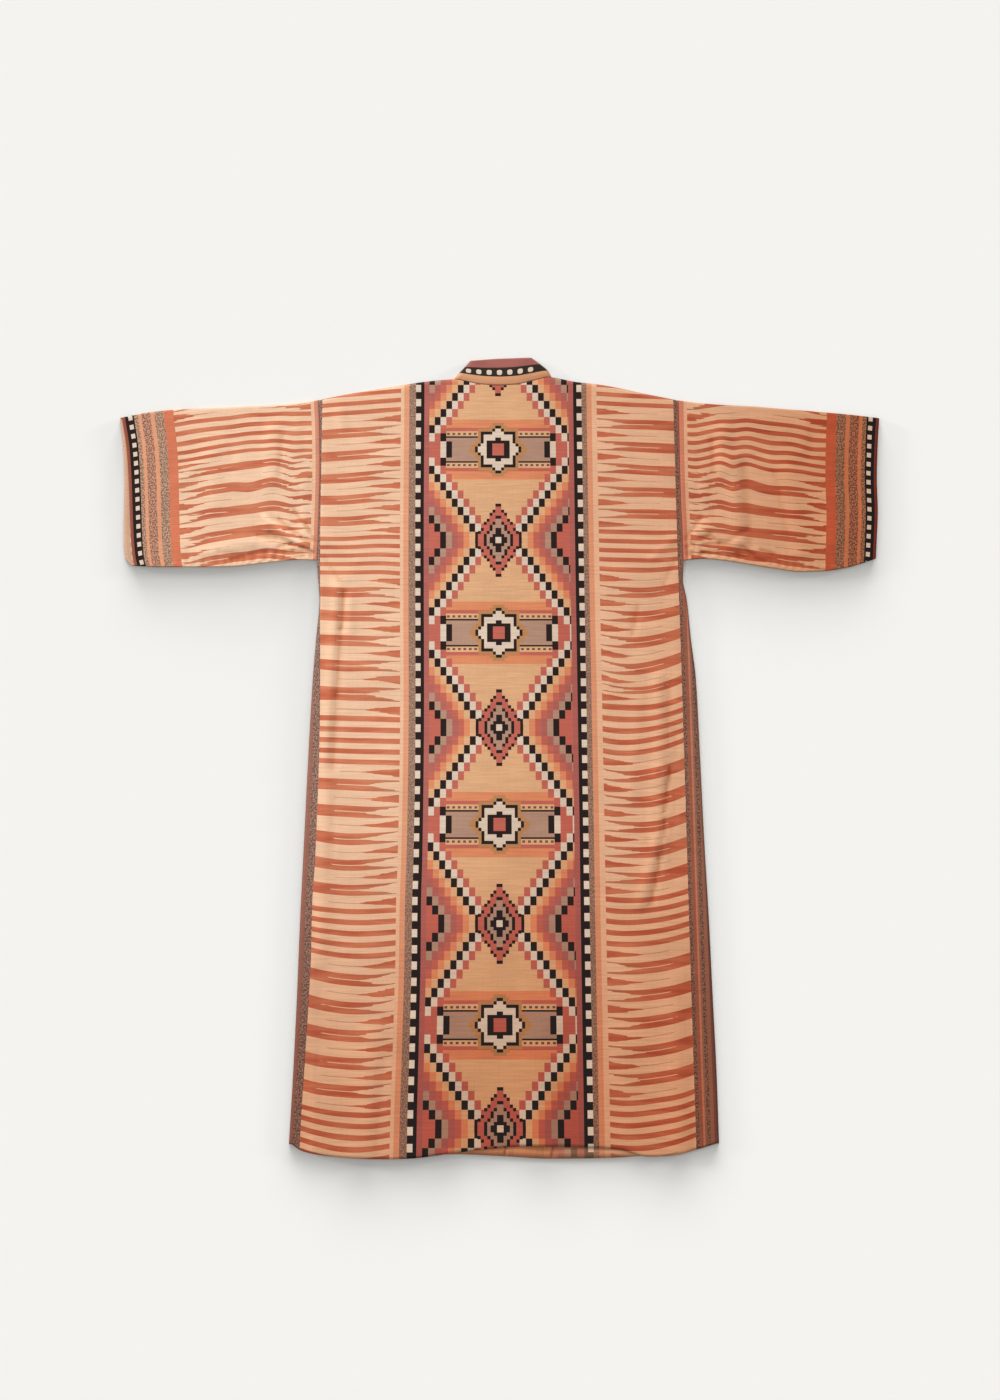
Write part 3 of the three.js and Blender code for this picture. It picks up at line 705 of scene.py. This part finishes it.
# %% Nodes and colours
def add(tree, kind, *feeds, inputs=None, **settings):
    """Adds a shader node with its settings, and feeds its sockets with numbers, nodes or sockets."""
    kind, _, operation = kind.partition(" ")
    node = tree.nodes.new("ShaderNode" + kind)
    if operation:
        node.operation = operation
    for name, value in settings.items():
        setattr(node, name, value)
    sockets = [socket for socket in node.inputs if socket.enabled]
    pairs = list(zip(sockets, feeds)) + [(node.inputs[name], feed) for name, feed in (inputs or {}).items()]
    for socket, feed in pairs:
        if isinstance(feed, bpy.types.Node):
            feed = next(output for output in feed.outputs if output.enabled)
        if isinstance(feed, bpy.types.NodeSocket):
            tree.links.new(feed, socket)
        elif feed is not None:
            socket.default_value = feed
    return node


def linear(colour):
    """The linear colour, with alpha 1, of an sRGB hex value."""
    values = [int(colour[i:i + 2], 16) / 255 for i in (1, 3, 5)]
    return [v / 12.92 if v <= 0.04045 else ((v + 0.055) / 1.055) ** 2.4 for v in values] + [1.0]


def dyed(tree, mask, below, yarn):
    """Lays a yarn's colour over what is below it, where the mask says."""
    return add(tree, "Mix", mask, below, linear(YARNS[yarn]), data_type="RGBA")


# %% [markdown]
# ## The yarns
# The cloth is a jacquard: a loom that lifts each warp yarn by itself weaves its figures. It is soft spun
# wool and cotton, so it is matte, with a little nap that catches the light at its edges. These are the
# colours of its yarns as they look in even light.

# %% Yarn colours
YARNS = {
    "peach": "#F6CBA8", "light peach": "#F5C6A2", "sleeve peach": "#F9D0AE", "rust": "#C96A4A",
    "pale rust": "#E08F69", "dark orange": "#DE7F5C", "orange": "#EBA57E", "mauve": "#B96A60",
    "dark mauve": "#93665C", "black": "#26140F", "cream": "#E7D4BF", "grey": "#8F6E5F",
    "fleck": "#D9AE8E", "brown": "#755550", "grey mauve": "#985D4E", "tan": "#C48E5C", "greige": "#BC9680",
    "coral": "#CB6D5C", "apricot": "#E79468", "straw": "#E8B689", "dark grey": "#75584C",
    "thread": "#B98D6E", "collar peach": "#E6AA80", "collar mauve": "#A9675F", "ink": "#33291F",
    "red brown": "#9C5442", "seam peach": "#E0967A", "deep rust": "#B1755D", "soft coral": "#D9967C",
    "warm brown": "#B08069", "edge mauve": "#A16C5B",
}
PAINTED_SHADE_TINT = "#DECBC0"  # painted shade: what the colour is multiplied by, near the hem on its right side
print("yarns:", len(YARNS))

# %% [markdown]
# ## The warp order
# Lengthwise stripes come from the order in which coloured yarns are laid into the warp. A weaver writes it
# as a list of widths, and a colour ramp with hard steps says just that. A second ramp says how each stripe
# is woven: red where light flecks show, green where the cross stripes are, blue in the figured panel, and
# its alpha where it is checked.

# %% Warp orders, from the place in millimetres where each stripe starts
BODY_WARP = (
    (-320, "edge mauve", "plain"), (-273.5, "brown", "flecked"), (-264, "peach", "striped"),
    (-146, "light peach", "plain"), (-140.5, "orange", "plain"), (-132.5, "grey", "flecked"),
    (-124.5, "black", "checked"), (-116, "black", "plain"), (-111.8, "mauve", "plain"),
    (-103, "straw", "panel"), (103, "mauve", "plain"), (111.8, "black", "plain"),
    (116, "black", "checked"), (124.5, "grey", "flecked"), (132, "orange", "plain"),
    (139, "light peach", "plain"), (146, "peach", "striped"), (262, "brown", "flecked"),
    (266.3, "deep rust", "plain"), (270.5, "soft coral", "plain"), (274.7, "warm brown", "plain"),
    (277.5, "brown", "flecked"), (281.7, "warm brown", "plain"), (286, "dark mauve", "plain"),
)
SLEEVE_FIELD = (75, 277.5)
SLEEVE_WARP = (
    (-10, "red brown", "plain"), (3.5, "black", "plain"), (8.8, "black", "checked"), (15.2, "black", "plain"),
    (17.2, "grey", "flecked"), (23, "orange", "plain"), (28.5, "grey mauve", "flecked"),
    (42, "orange", "plain"), (47.5, "grey", "flecked"), (61, "dark orange", "plain"),
    (SLEEVE_FIELD[0], "sleeve peach", "striped"), (SLEEVE_FIELD[1], "light peach", "plain"),
    (282, "seam peach", "plain"),
)
BAND_WARP = (
    (-5, "collar peach", "plain"), (12, "ink", "checked"), (25, "collar mauve", "plain"),
    (40, "collar peach", "plain"), (58, "mauve", "plain"),
)
WEAVES = {
    "plain": (0, 0, 0, 0), "flecked": (1, 0, 0, 0), "striped": (0, 1, 0, 0), "panel": (0, 0, 1, 0),
    "checked": (0, 0, 0, 1),
}


def step_hard(ramp, starts, colours):
    """Gives a colour ramp one colour after another, each from where it starts, with no blend between."""
    ramp.interpolation = "CONSTANT"
    ramp.elements.remove(ramp.elements[1])
    ramp.elements[0].color = colours[0]
    for start, colour in zip(starts[1:], colours[1:]):
        ramp.elements.new(start).color = colour


def lay_warp(tree, across, warp, end):
    """Stripes of yarn along a coordinate in millimetres: their colour, and the sockets of their weaves."""
    first = warp[0][0]
    place = add(tree, "MapRange", across, first, end, 0.0, 1.0)
    starts = [(start - first) / (end - first) for start, _, _ in warp]
    yarn, weave = add(tree, "ValToRGB", place), add(tree, "ValToRGB", place)
    step_hard(yarn.color_ramp, starts, [linear(YARNS[name]) for _, name, _ in warp])
    step_hard(weave.color_ramp, starts, [WEAVES[kind] for _, _, kind in warp])
    split = add(tree, "SeparateColor", weave.outputs["Color"]).outputs
    masks = {"flecked": split[0], "striped": split[1], "panel": split[2], "checked": weave.outputs["Alpha"]}
    return yarn.outputs["Color"], masks


print("stripes in the body's warp:", len(BODY_WARP))

# %% [markdown]
# ## The cross stripes
# Five narrow plain stripes, then six wedges with five broad bands between them, then the same again. Each
# band opens towards the border like a split reed, where a wedge grows between it and the next. They are
# all made from one number, the place within the repeat. `PINGPONG` gives the distance to the nearest whole
# number, so one node draws a whole row of stripes.

# %% Cross stripes
REPEAT_START = 0.02
PLAIN_END = 0.24
PLAIN_HALF = 0.24
WEDGE_START = 0.2715
WEDGE_PITCH = 0.1372
WEDGES = (2.5, 2.75)  # the wedges' middle, counted in pitches, and how far they reach to both sides
BAND_HALF = 0.215
SPLIT_HALF = 0.188
WEDGE_HALF = 0.155
HAIRLINE = 0.016


def cross_stripes(tree, repeat, inward, fray, plain_pitch, wedge, split):
    """Masks of the rust stripes, of the thin dark threads, and of how near a place is to the border."""
    n = partial(add, tree)
    place = n("Math SUBTRACT", n("Math FRACT", n("Math ADD", repeat, REPEAT_START)), REPEAT_START)
    narrow = n("Math PINGPONG", n("Math DIVIDE", place, plain_pitch), 0.5)
    plain = n("Math MULTIPLY", n("Math LESS_THAN", narrow, PLAIN_HALF), n("Math LESS_THAN", place, PLAIN_END))
    number = n("Math MULTIPLY_ADD", place, 1 / WEDGE_PITCH, -WEDGE_START / WEDGE_PITCH)
    here = n("Math COMPARE", number, *WEDGES)
    to_wedge = n("Math PINGPONG", number, 0.5)
    to_band = n("Math SUBTRACT", 0.5, to_wedge)
    depth = n("Math ADD", fray, inward)
    near = n("MapRange", depth, 0.0, wedge, 1.0, 0.0)
    in_split = n("Math LESS_THAN", depth, split)
    wide_slit, hair_slit = n("Math MULTIPLY", near, SPLIT_HALF), n("Math MULTIPLY", in_split, HAIRLINE)
    beside_slit = n("Math GREATER_THAN", to_band, n("Math MAXIMUM", wide_slit, hair_slit))
    band = n("Math MULTIPLY", n("Math LESS_THAN", to_band, BAND_HALF), beside_slit)
    tooth = n("Math LESS_THAN", to_wedge, n("Math MULTIPLY", near, WEDGE_HALF))
    rust = n("Math MAXIMUM", n("Math MULTIPLY", n("Math MAXIMUM", band, tooth), here), plain)
    thread = n("Math MULTIPLY", n("Math LESS_THAN", to_wedge, HAIRLINE), n("Math MULTIPLY", in_split, here))
    return rust, thread, n("Math MULTIPLY", n("Math MULTIPLY", band, near), here)


# %% [markdown]
# ## The figured panel
# The panel down the middle has plain traditional weaver's figures: large stepped half lozenges along both
# edges, small ones between them, and a row of eight-pointed stars and small lozenges up the middle, on
# bands. A figure is a set of rings round a centre, so each needs only a distance and a ramp of yarns. The
# distance is counted in whole steps of yarn, which gives the stepped outlines of weaving.

# %% Panel figures
PANEL_HALF = 103
PANEL_REPEAT = 264
PANEL_PHASE = 96  # the first row of stars lies this far below the neckline
STEP_ACROSS = 8.6
STEP_ALONG = 12.0
STAR_STEP = (4.3, 4.4)
BANDS = ((0, "greige"), (17, "black"), (19.4, "straw"), (27, "coral"), (32, "apricot"), (44, None))
EDGE_RINGS = (
    (0, "coral"), (1, "black"), (2, "greige"), (3, "mauve"), (4, "coral"), (5, "apricot"), (6, "straw"),
    (7, "black"), (8, "cream"), (9, "coral"), (10, None),
)
BEAD_ROW = (23.0, 1.6)  # rows of small beads run beside the bands: where, and half their height
BEAD_PITCH = 8.0
LOZENGE_SLOPE = 0.62
SMALL_EDGE_RINGS = ((0, "coral"), (1, "cream"), (2, "black"), (3, None))
STAR_RINGS = ((0, "coral"), (7, "black"), (15, "cream"), (22, "black"), (25, "tan"), (31, None))
LOZENGE_RINGS = (
    (0, "cream"), (5, "black"), (13, "greige"), (20, "black"), (24, "coral"), (32, "black"), (35, None),
)
PAST_LAST = 1.25  # a ramp runs on beyond its last ring


def rings(tree, distance, order, below):
    """Lays the rings of a figure over what is below it: hard steps of yarn along a distance."""
    reach = order[-1][0] * PAST_LAST
    ring = add(tree, "ValToRGB", add(tree, "Math DIVIDE", distance, reach))
    colours = [linear(YARNS[yarn]) if yarn else (0, 0, 0, 0) for _, yarn in order]
    step_hard(ring.color_ramp, [start / reach for start, _ in order], colours)
    return add(tree, "Mix", ring.outputs["Alpha"], below, ring.outputs["Color"], data_type="RGBA")


def stepped(tree, value, step):
    """The middle of the step of yarn that a value lies in."""
    whole = add(tree, "Math FLOOR", add(tree, "Math DIVIDE", value, step))
    return add(tree, "Math MULTIPLY_ADD", whole, step, step / 2)


def figured_panel(tree, across, length, ground):
    """The figures of the middle panel over its ground."""
    n = partial(add, tree)
    out = n("Math ABSOLUTE", across)
    down = n("Math PINGPONG", n("Math SUBTRACT", length, PANEL_PHASE), PANEL_REPEAT / 2)
    up = n("Math SUBTRACT", PANEL_REPEAT / 2, down)
    colour = rings(tree, down, BANDS, ground)
    bead = n("Math LESS_THAN", n("Math FRACT", n("Math DIVIDE", out, BEAD_PITCH)), 0.5)
    colour = dyed(tree, n("Math MULTIPLY", bead, n("Math COMPARE", down, *BEAD_ROW)), colour, "dark grey")
    from_edge = n("Math FLOOR", n("Math DIVIDE", n("Math SUBTRACT", PANEL_HALF, out), STEP_ACROSS))
    for height, order in ((down, SMALL_EDGE_RINGS), (up, EDGE_RINGS)):
        rows = n("Math FLOOR", n("Math DIVIDE", height, STEP_ALONG))
        colour = rings(tree, n("Math ADD", from_edge, rows), order, colour)
    x, y = stepped(tree, out, STAR_STEP[0]), stepped(tree, down, STAR_STEP[1])
    square, turned_square = n("Math MAXIMUM", x, y), n("Math MULTIPLY", n("Math ADD", x, y), 1 / math.sqrt(2))
    colour = rings(tree, n("Math MINIMUM", square, turned_square), STAR_RINGS, colour)
    y = stepped(tree, up, STAR_STEP[1])
    return rings(tree, n("Math ADD", n("Math MULTIPLY", y, LOZENGE_SLOPE), x), LOZENGE_RINGS, colour)


# %% [markdown]
# ## The woven finish
# What is common to all the cloth: yarns of slightly different shade run across it, the surface is mottled,
# and light flecks show where two yarns are twisted together. Yarn is about 1 mm thick, which is finer than
# a pixel of the picture, so the streaks are drawn 3 mm thick and uneven, which keeps them from shimmering.

# %% Weave, fleck and tone
YARN_DRAWN = 3.0
STREAK_LENGTH = 48.0
MOTTLE = (70, 55)
FLECK = (2.0, 2.3)
GRAIN = (5.0, 2.4)
STREAK_TONES = (0.3, 0.7, 0.91, 1.06)  # of the noise's values from and to, the tones from and to
WARP_TONES = (0.3, 0.7, 0.982, 1.015)
MOTTLE_TONES = (0.3, 0.7, 0.955, 1.03)
PAINTED_EDGE_SHADE = (0.3, 0.92, 0.55, 1.0)  # painted shade: darker where the cloth turns over an edge and its normal leans from upright
CREASE_SHADE = (-1.2, 1.6, 1.16, 0.79)  # painted shade in creases and painted light on ridges, by depth in millimetres
CREASE_WARMTH = (0.1, 0.8, 1.0, 0.87)  # painted crease shade is warm, as cloth lights its own creases: less green, and less blue again
SHADE_TOWARDS_RIGHT = (-0.2, 0.7, 0.15, 1.4)  # of the place on the part, in metres
SHADE_TOWARDS_HEM = (0.05, -0.55, 0.0, 0.62)
HEM_SHADE_WEIGHT = 1.4
SHADE_GAMMA = 1.16
PALE_SHADE_SHARE = 0.6  # how much of the painted shade the light squares take
ROUGHNESS = 0.88
SPECULAR = 0.25
SHEEN = 0.12
SHEEN_ROUGHNESS = 0.5
BUMP = (0.35, 0.0006)


def noise(tree, vector, size, **inputs):
    """Noise across and along the cut, with a grain of the given size in millimetres."""
    scaled = add(tree, "VectorMath MULTIPLY", vector, [1 / v for v in (*size, 9e9)])
    return add(tree, "TexNoise", inputs={"Vector": scaled.outputs[0], "Scale": 1.0} | inputs).outputs[0]


def painted_shade_to_right_and_hem(tree, colour, pale):
    """A colour with painted shade: darker and deeper towards the right and the hem, less so where it is pale.
    """
    n = partial(add, tree)
    # Painted shade grows from the left to the right of the part, and down towards the hem.
    place = n("SeparateXYZ", n("TexCoord").outputs["Object"]).outputs
    right = n("MapRange", place[0], *SHADE_TOWARDS_RIGHT, interpolation_type="SMOOTHSTEP")
    low = n("MapRange", place[1], *SHADE_TOWARDS_HEM, interpolation_type="SMOOTHSTEP")
    kept = n("MapRange", pale, 0.0, 1.0, 1.0, PALE_SHADE_SHARE)
    depth = n("Math MULTIPLY", n("Mix", low, right, HEM_SHADE_WEIGHT), kept)
    deeper = n("Gamma", colour, SHADE_GAMMA)
    deeper = n("Mix", 1.0, deeper, linear(PAINTED_SHADE_TINT), data_type="RGBA", blend_type="MULTIPLY")
    return n("Mix", depth, colour, deeper, data_type="RGBA", clamp_factor=False)


def woven_finish(material, cut, colour, pale):
    """Adds yarn's look, painted shade and the shader to a colour. A mask says where the cloth is pale."""
    tree = material.node_tree
    n = partial(add, tree)
    streaks = noise(tree, cut, (STREAK_LENGTH, YARN_DRAWN), Detail=2.0)
    warps = noise(tree, cut, (YARN_DRAWN, STREAK_LENGTH), Detail=1.0)
    mottle = noise(tree, cut, MOTTLE, Detail=3.0)
    # Painted shade: turned edges, whose normals lean from upright, are darkened in the colour.
    facing = n("Math ABSOLUTE", n("SeparateXYZ", n("NewGeometry").outputs["Normal"]).outputs[2])
    # Painted shade: the bottom of a crease is darkened and a ridge is lightened, by depth in the crease.
    lie = n("SeparateXYZ", n("Attribute", attribute_name="hollow").outputs["Vector"]).outputs[0]
    light = n("MapRange", streaks, *STREAK_TONES)
    for value, tones in (
        (warps, WARP_TONES), (mottle, MOTTLE_TONES), (facing, PAINTED_EDGE_SHADE), (lie, CREASE_SHADE),
    ):
        light = n("Math MULTIPLY", light, n("MapRange", value, *tones))
    # The painted shade in creases is made warmer.
    warmth = n("MapRange", lie, *CREASE_WARMTH)
    green = n("Math MULTIPLY", light, warmth)
    shade = n("CombineColor", light, green, n("Math MULTIPLY", green, warmth))
    colour = n("Mix", 1.0, colour, shade, data_type="RGBA", blend_type="MULTIPLY")
    grain = noise(tree, cut, GRAIN, Detail=3.0)
    bump = n("Bump", *BUMP, inputs={"Height": n("Math ADD", grain, streaks)})
    shader = n("BsdfPrincipled", inputs={
        "Base Color": painted_shade_to_right_and_hem(tree, colour, pale), "Roughness": ROUGHNESS, "Specular IOR Level": SPECULAR,
        "Sheen Weight": SHEEN, "Sheen Roughness": SHEEN_ROUGHNESS, "Normal": bump,
    })
    n("OutputMaterial", shader)
    material.diffuse_color = linear(YARNS["peach"])
    return material


def new_cloth(name):
    """An empty material, with the cut's places as a vector and its three numbers apart."""
    material = bpy.data.materials.new(name)
    material.use_nodes = True
    material.node_tree.nodes.clear()
    cut = add(material.node_tree, "Attribute", attribute_name="cut").outputs["Vector"]
    return material, cut, add(material.node_tree, "SeparateXYZ", cut).outputs


FLECK_EDGES = (0.46, 0.56)
FRAY = (30.0, 2.2)
RUST_LOT = (75.0, 10.0)  # the rust yarn's shade changes over places of this size
RUST_LOT_TONES = (0.36, 0.64, 0.0, 0.75)
THREAD_SHARES = (0.55, 0.6)  # of the thread's colour in the rust yarn by the border, and in the hairlines


def patterned(
    name, warp, end, check, wedge, split, plain_pitch, ragged, speckled, sleeve=False, wrong_side=0.0,
):
    """A jacquard: warp stripes, flecks, checks, cross stripes and, on the body, the figured panel."""
    material, cut, (across, length, repeat) = new_cloth(name)
    tree = material.node_tree
    n = partial(add, tree)
    colour, weave = lay_warp(tree, across, warp, end)
    fleck = n("MapRange", noise(tree, cut, FLECK, Detail=2.0), *FLECK_EDGES, 0.0, speckled)
    colour = dyed(tree, n("Math MULTIPLY", fleck, weave["flecked"]), colour, "fleck")
    light_half = n("Math LESS_THAN", n("Math FRACT", n("Math DIVIDE", length, check)), 0.5)
    light_square = n("Math MULTIPLY", light_half, weave["checked"])
    colour = dyed(tree, light_square, colour, "cream")
    if sleeve:
        field_start, field_end = SLEEVE_FIELD
        from_cuff = n("Math SUBTRACT", across, field_start)
        from_armhole = n("Math SUBTRACT", field_end, across)
        inward = n("Math MINIMUM", from_cuff, from_armhole)
    else:
        inward = n("Math SUBTRACT", n("Math ABSOLUTE", across), FIELD_FROM)
    fray = n("MapRange", noise(tree, cut, FRAY, Detail=1.0), 0.25, 0.75, -ragged, ragged)
    rust, thread, edge = cross_stripes(tree, repeat, inward, fray, plain_pitch, wedge, split)
    lot = n("MapRange", noise(tree, cut, RUST_LOT, Detail=3.0), *RUST_LOT_TONES)
    rust_yarn = dyed(tree, lot, linear(YARNS["rust"]), "pale rust")
    rust_yarn = dyed(tree, n("Math MULTIPLY", edge, THREAD_SHARES[0]), rust_yarn, "thread")
    stripes = dyed(tree, n("Math MULTIPLY", thread, THREAD_SHARES[1]), colour, "thread")
    stripes = n("Mix", rust, stripes, rust_yarn, data_type="RGBA")
    colour = n("Mix", weave["striped"], colour, stripes, data_type="RGBA")
    if not sleeve:
        figures = figured_panel(tree, across, length, linear(YARNS["straw"]))
        colour = n("Mix", weave["panel"], colour, figures, data_type="RGBA")
    if wrong_side:
        colour = dyed(tree, wrong_side, colour, "peach")
    return woven_finish(material, cut, colour, light_square)


BODY_LOOK = dict(
    warp=BODY_WARP, end=320, check=CHECK_REPEAT, wedge=54.0, split=92.0, plain_pitch=0.0548, ragged=10.0,
    speckled=0.5,
)
SLEEVE_LOOK = dict(
    warp=SLEEVE_WARP, end=300, check=13.5, wedge=46.0, split=72.0, ragged=17.0, speckled=0.9, sleeve=True,
)
body_cloth = patterned("wool_cotton_jacquard_body", **BODY_LOOK)
body_wrong = patterned("wool_cotton_jacquard_body_wrong_side", wrong_side=0.35, **BODY_LOOK)
sleeve_cloth = {
    "left": patterned("wool_cotton_jacquard_left_sleeve", plain_pitch=0.0548, **SLEEVE_LOOK),
    "right": patterned("wool_cotton_jacquard_right_sleeve", plain_pitch=0.0438, **SLEEVE_LOOK),
}
sleeve_wrong = patterned("wool_cotton_jacquard_sleeve_wrong_side", plain_pitch=0.0548, wrong_side=0.7,
                         **SLEEVE_LOOK)
print("materials:", len(bpy.data.materials))

# %% [markdown]
# ## The collar's cloth
# The neck band is cut from a border of the same cloth: peach beside the seam, then a dark stripe with
# light rounded squares, then mauve at the folded edge. The squares are as far apart as on the real band.

# %% Collar cloth
DOT_PITCH = 15.5
DOT_HALF = (3.9, 3.6)
DOT_RISE = 18.2
DOT_SQUARENESS = 3.0
LAST_DOT = 54
BAND_WIDTH = 80


def band_cloth(name, wrong_side=0.0):
    """The collar's cloth: stripes along the band, and a row of rounded squares in the dark one."""
    material, cut, (across, rise, _) = new_cloth(name)
    tree = material.node_tree
    n = partial(add, tree)
    colour, weave = lay_warp(tree, rise, BAND_WARP, BAND_WIDTH)
    x = n("Math DIVIDE", n("Math PINGPONG", across, DOT_PITCH / 2), DOT_HALF[0])
    y = n("Math DIVIDE", n("Math SUBTRACT", rise, DOT_RISE), DOT_HALF[1])
    powers = [n("Math POWER", n("Math ABSOLUTE", v), DOT_SQUARENESS) for v in (x, y)]
    dot = n("Math MULTIPLY", n("Math LESS_THAN", n("Math ADD", *powers), 1.0), weave["checked"])
    dot = n("Math MULTIPLY", dot, n("Math LESS_THAN", n("Math ABSOLUTE", across), LAST_DOT))
    colour = dyed(tree, dot, colour, "cream")
    if wrong_side:
        colour = dyed(tree, wrong_side, colour, "collar peach")
    return woven_finish(material, cut, colour, dot)


collar_cloth = band_cloth("wool_cotton_band")
collar_wrong = band_cloth("wool_cotton_band_wrong_side", wrong_side=0.9)

# %% [markdown]
# ## Dressing the pieces, and setting them on the part's body
# The first material is the outer face of a grid, and the second its inner face. The fronts' and their
# bands' grids are their upper faces, which are the wrong side of the cloth, so there the two are swapped.
# Then the thickness becomes part of the mesh, so the few corners that would sink into the table can be
# lifted onto it. Each piece rides on the part's one body, stands for its node, which is hidden, and
# prints its flat area. A sleeve's flat size is its whole way round by its length.

# %% Materials, and the part's body
SHEETS = (  # node, slot, flat size in metres, outer and inner finish
    ("back", "cloth_body", (0.646, 1.173), body_cloth, body_wrong),
    ("front_left", "cloth_body", (0.252, 1.16), body_wrong, body_cloth),
    ("front_right", "cloth_body", (0.251, 1.169), body_wrong, body_cloth),
    ("front_band_left", "cloth_band", (0.077, 1.188), collar_wrong, collar_cloth),
    ("front_band_right", "cloth_band", (0.07, 1.192), collar_wrong, collar_cloth),
    ("sleeve_left", "cloth_sleeves", (SLEEVE_ROUND, 0.298), sleeve_cloth["left"], sleeve_wrong),
    ("sleeve_right", "cloth_sleeves", (SLEEVE_ROUND, 0.3), sleeve_cloth["right"], sleeve_wrong),
    ("collar_back", "cloth_band", (0.15, 0.041), collar_cloth, collar_wrong),
)


def settle(piece):
    """Makes the cloth's thickness part of its mesh, and keeps all of it above the table."""
    graph = bpy.context.evaluated_depsgraph_get()
    mesh = bpy.data.meshes.new_from_object(piece.evaluated_get(graph), depsgraph=graph)
    places = np.zeros(3 * len(mesh.vertices), np.float32)
    mesh.vertices.foreach_get("co", places)
    sunk = int(np.sum(places[2::3] < LOWEST * MM))
    places[2::3] = np.maximum(places[2::3], LOWEST * MM)
    mesh.vertices.foreach_set("co", places)
    piece.modifiers.clear()
    piece.data = mesh
    return sunk


for node, slot, flat, outer, inner in SHEETS:
    piece, area = cloths[node]
    piece.data.materials.append(outer)
    piece.data.materials.append(inner)
    print(piece.name, "points lifted onto the table:", settle(piece))
    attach(piece, "root")
    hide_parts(node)
    print(piece.name, "stands for", node, "flat area, m2:", round(area, 4))

# %% [markdown]
# ## The table
# The table is a plain pale floor. Its colour is the one that the picture has far from the garment, so the
# light on it is to have a strength of just one.

# %% Table
FLOOR = "#F4F3EF"
FLOOR_SIZE = 60.0

half = FLOOR_SIZE / 2
floor_mesh = bpy.data.meshes.new("floor")
corners = [(-half, -half, 0), (half, -half, 0), (half, half, 0), (-half, half, 0)]
floor_mesh.from_pydata(corners, [], [(0, 1, 2, 3)])
floor = bpy.data.objects.new("floor", floor_mesh)
bpy.context.scene.collection.objects.link(floor)
paper = bpy.data.materials.new("matte_paper")
paper.use_nodes = True
paper.node_tree.nodes.clear()
add(paper.node_tree, "OutputMaterial", add(paper.node_tree, "BsdfDiffuse", linear(FLOOR)))
floor_mesh.materials.append(paper)

# %% [markdown]
# ## The light
# Two fifths of the light come evenly from all round. A product photographer sets the rest apart with
# flags, and Blender does that with light linking. Low lamps beyond the neck shine on the table alone, and
# throw the wide soft shadow that thin cloth has in the picture. Two higher ones shine on the cloth alone.
# The stronger of them stands at the upper left, where it shapes the folds that run down the cloth.

# %% Lamps
FILL = 0.4
WIDE_FAN = (-22, -11, 0, 11, 22)  # a long shadow has soft ends where its lamp is parted into a fan
NARROW_FAN = (-14, 0, 14)
ALONE = (0,)
TABLE_LAMPS = (  # azimuth, elevation, soft angle in degrees, share of the light, fan
    (90, 2.2, 1.4, 0.06, WIDE_FAN), (90, 3.6, 2.4, 0.1, WIDE_FAN), (90, 6, 4, 0.13, WIDE_FAN),
    (90, 11, 8, 0.1, NARROW_FAN), (90, 22, 16, 0.06, ALONE), (160, 5, 4, 0.055, ALONE),
    (20, 5, 4, 0.055, ALONE), (180, 38, 24, 0.04, ALONE),
)
CLOTH_LAMPS = ((130, 22, 12, 0.36, ALONE), (70, 60, 40, 0.24, ALONE))

world = bpy.data.worlds.new("studio")
bpy.context.scene.world = world
world.use_nodes = True
world.node_tree.nodes.clear()
add(world.node_tree, "OutputWorld", add(world.node_tree, "Background", (1, 1, 1, 1), FILL))


def light_up(lamps, name, things):
    """Soft suns that shine on some things only."""
    lit = bpy.data.collections.new(f"lit_by_{name}_lamps")
    for thing in things:
        lit.objects.link(thing)
    parted = [(*lamp, azimuth + turn, fan) for azimuth, *lamp, fan in lamps for turn in fan]
    for elevation, softness, share, azimuth, fan in parted:
        sun = bpy.data.lights.new(f"{name}_lamp", "SUN")
        sun.energy = share / len(fan) * math.pi / math.sin(math.radians(elevation))
        sun.angle = math.radians(softness)
        lamp = bpy.data.objects.new(sun.name, sun)
        a, e = math.radians(azimuth), math.radians(elevation)
        towards = Vector((math.cos(e) * math.cos(a), math.cos(e) * math.sin(a), math.sin(e)))
        lamp.rotation_euler = towards.to_track_quat("Z", "Y").to_euler()
        lamp.light_linking.receiver_collection = lit
        bpy.context.scene.collection.objects.link(lamp)
    print(name, "lamps give", round(sum(lamp[3] for lamp in lamps), 2), "of the light")


light_up(TABLE_LAMPS, "table", [floor])
light_up(CLOTH_LAMPS, "cloth", [cloths[sheet[0]][0] for sheet in SHEETS])
bpy.context.scene.view_settings.view_transform = "Standard"

# %% [markdown]
# ## Closing
# The scene is brought up to date.

# %% The end
bpy.context.view_layer.update()
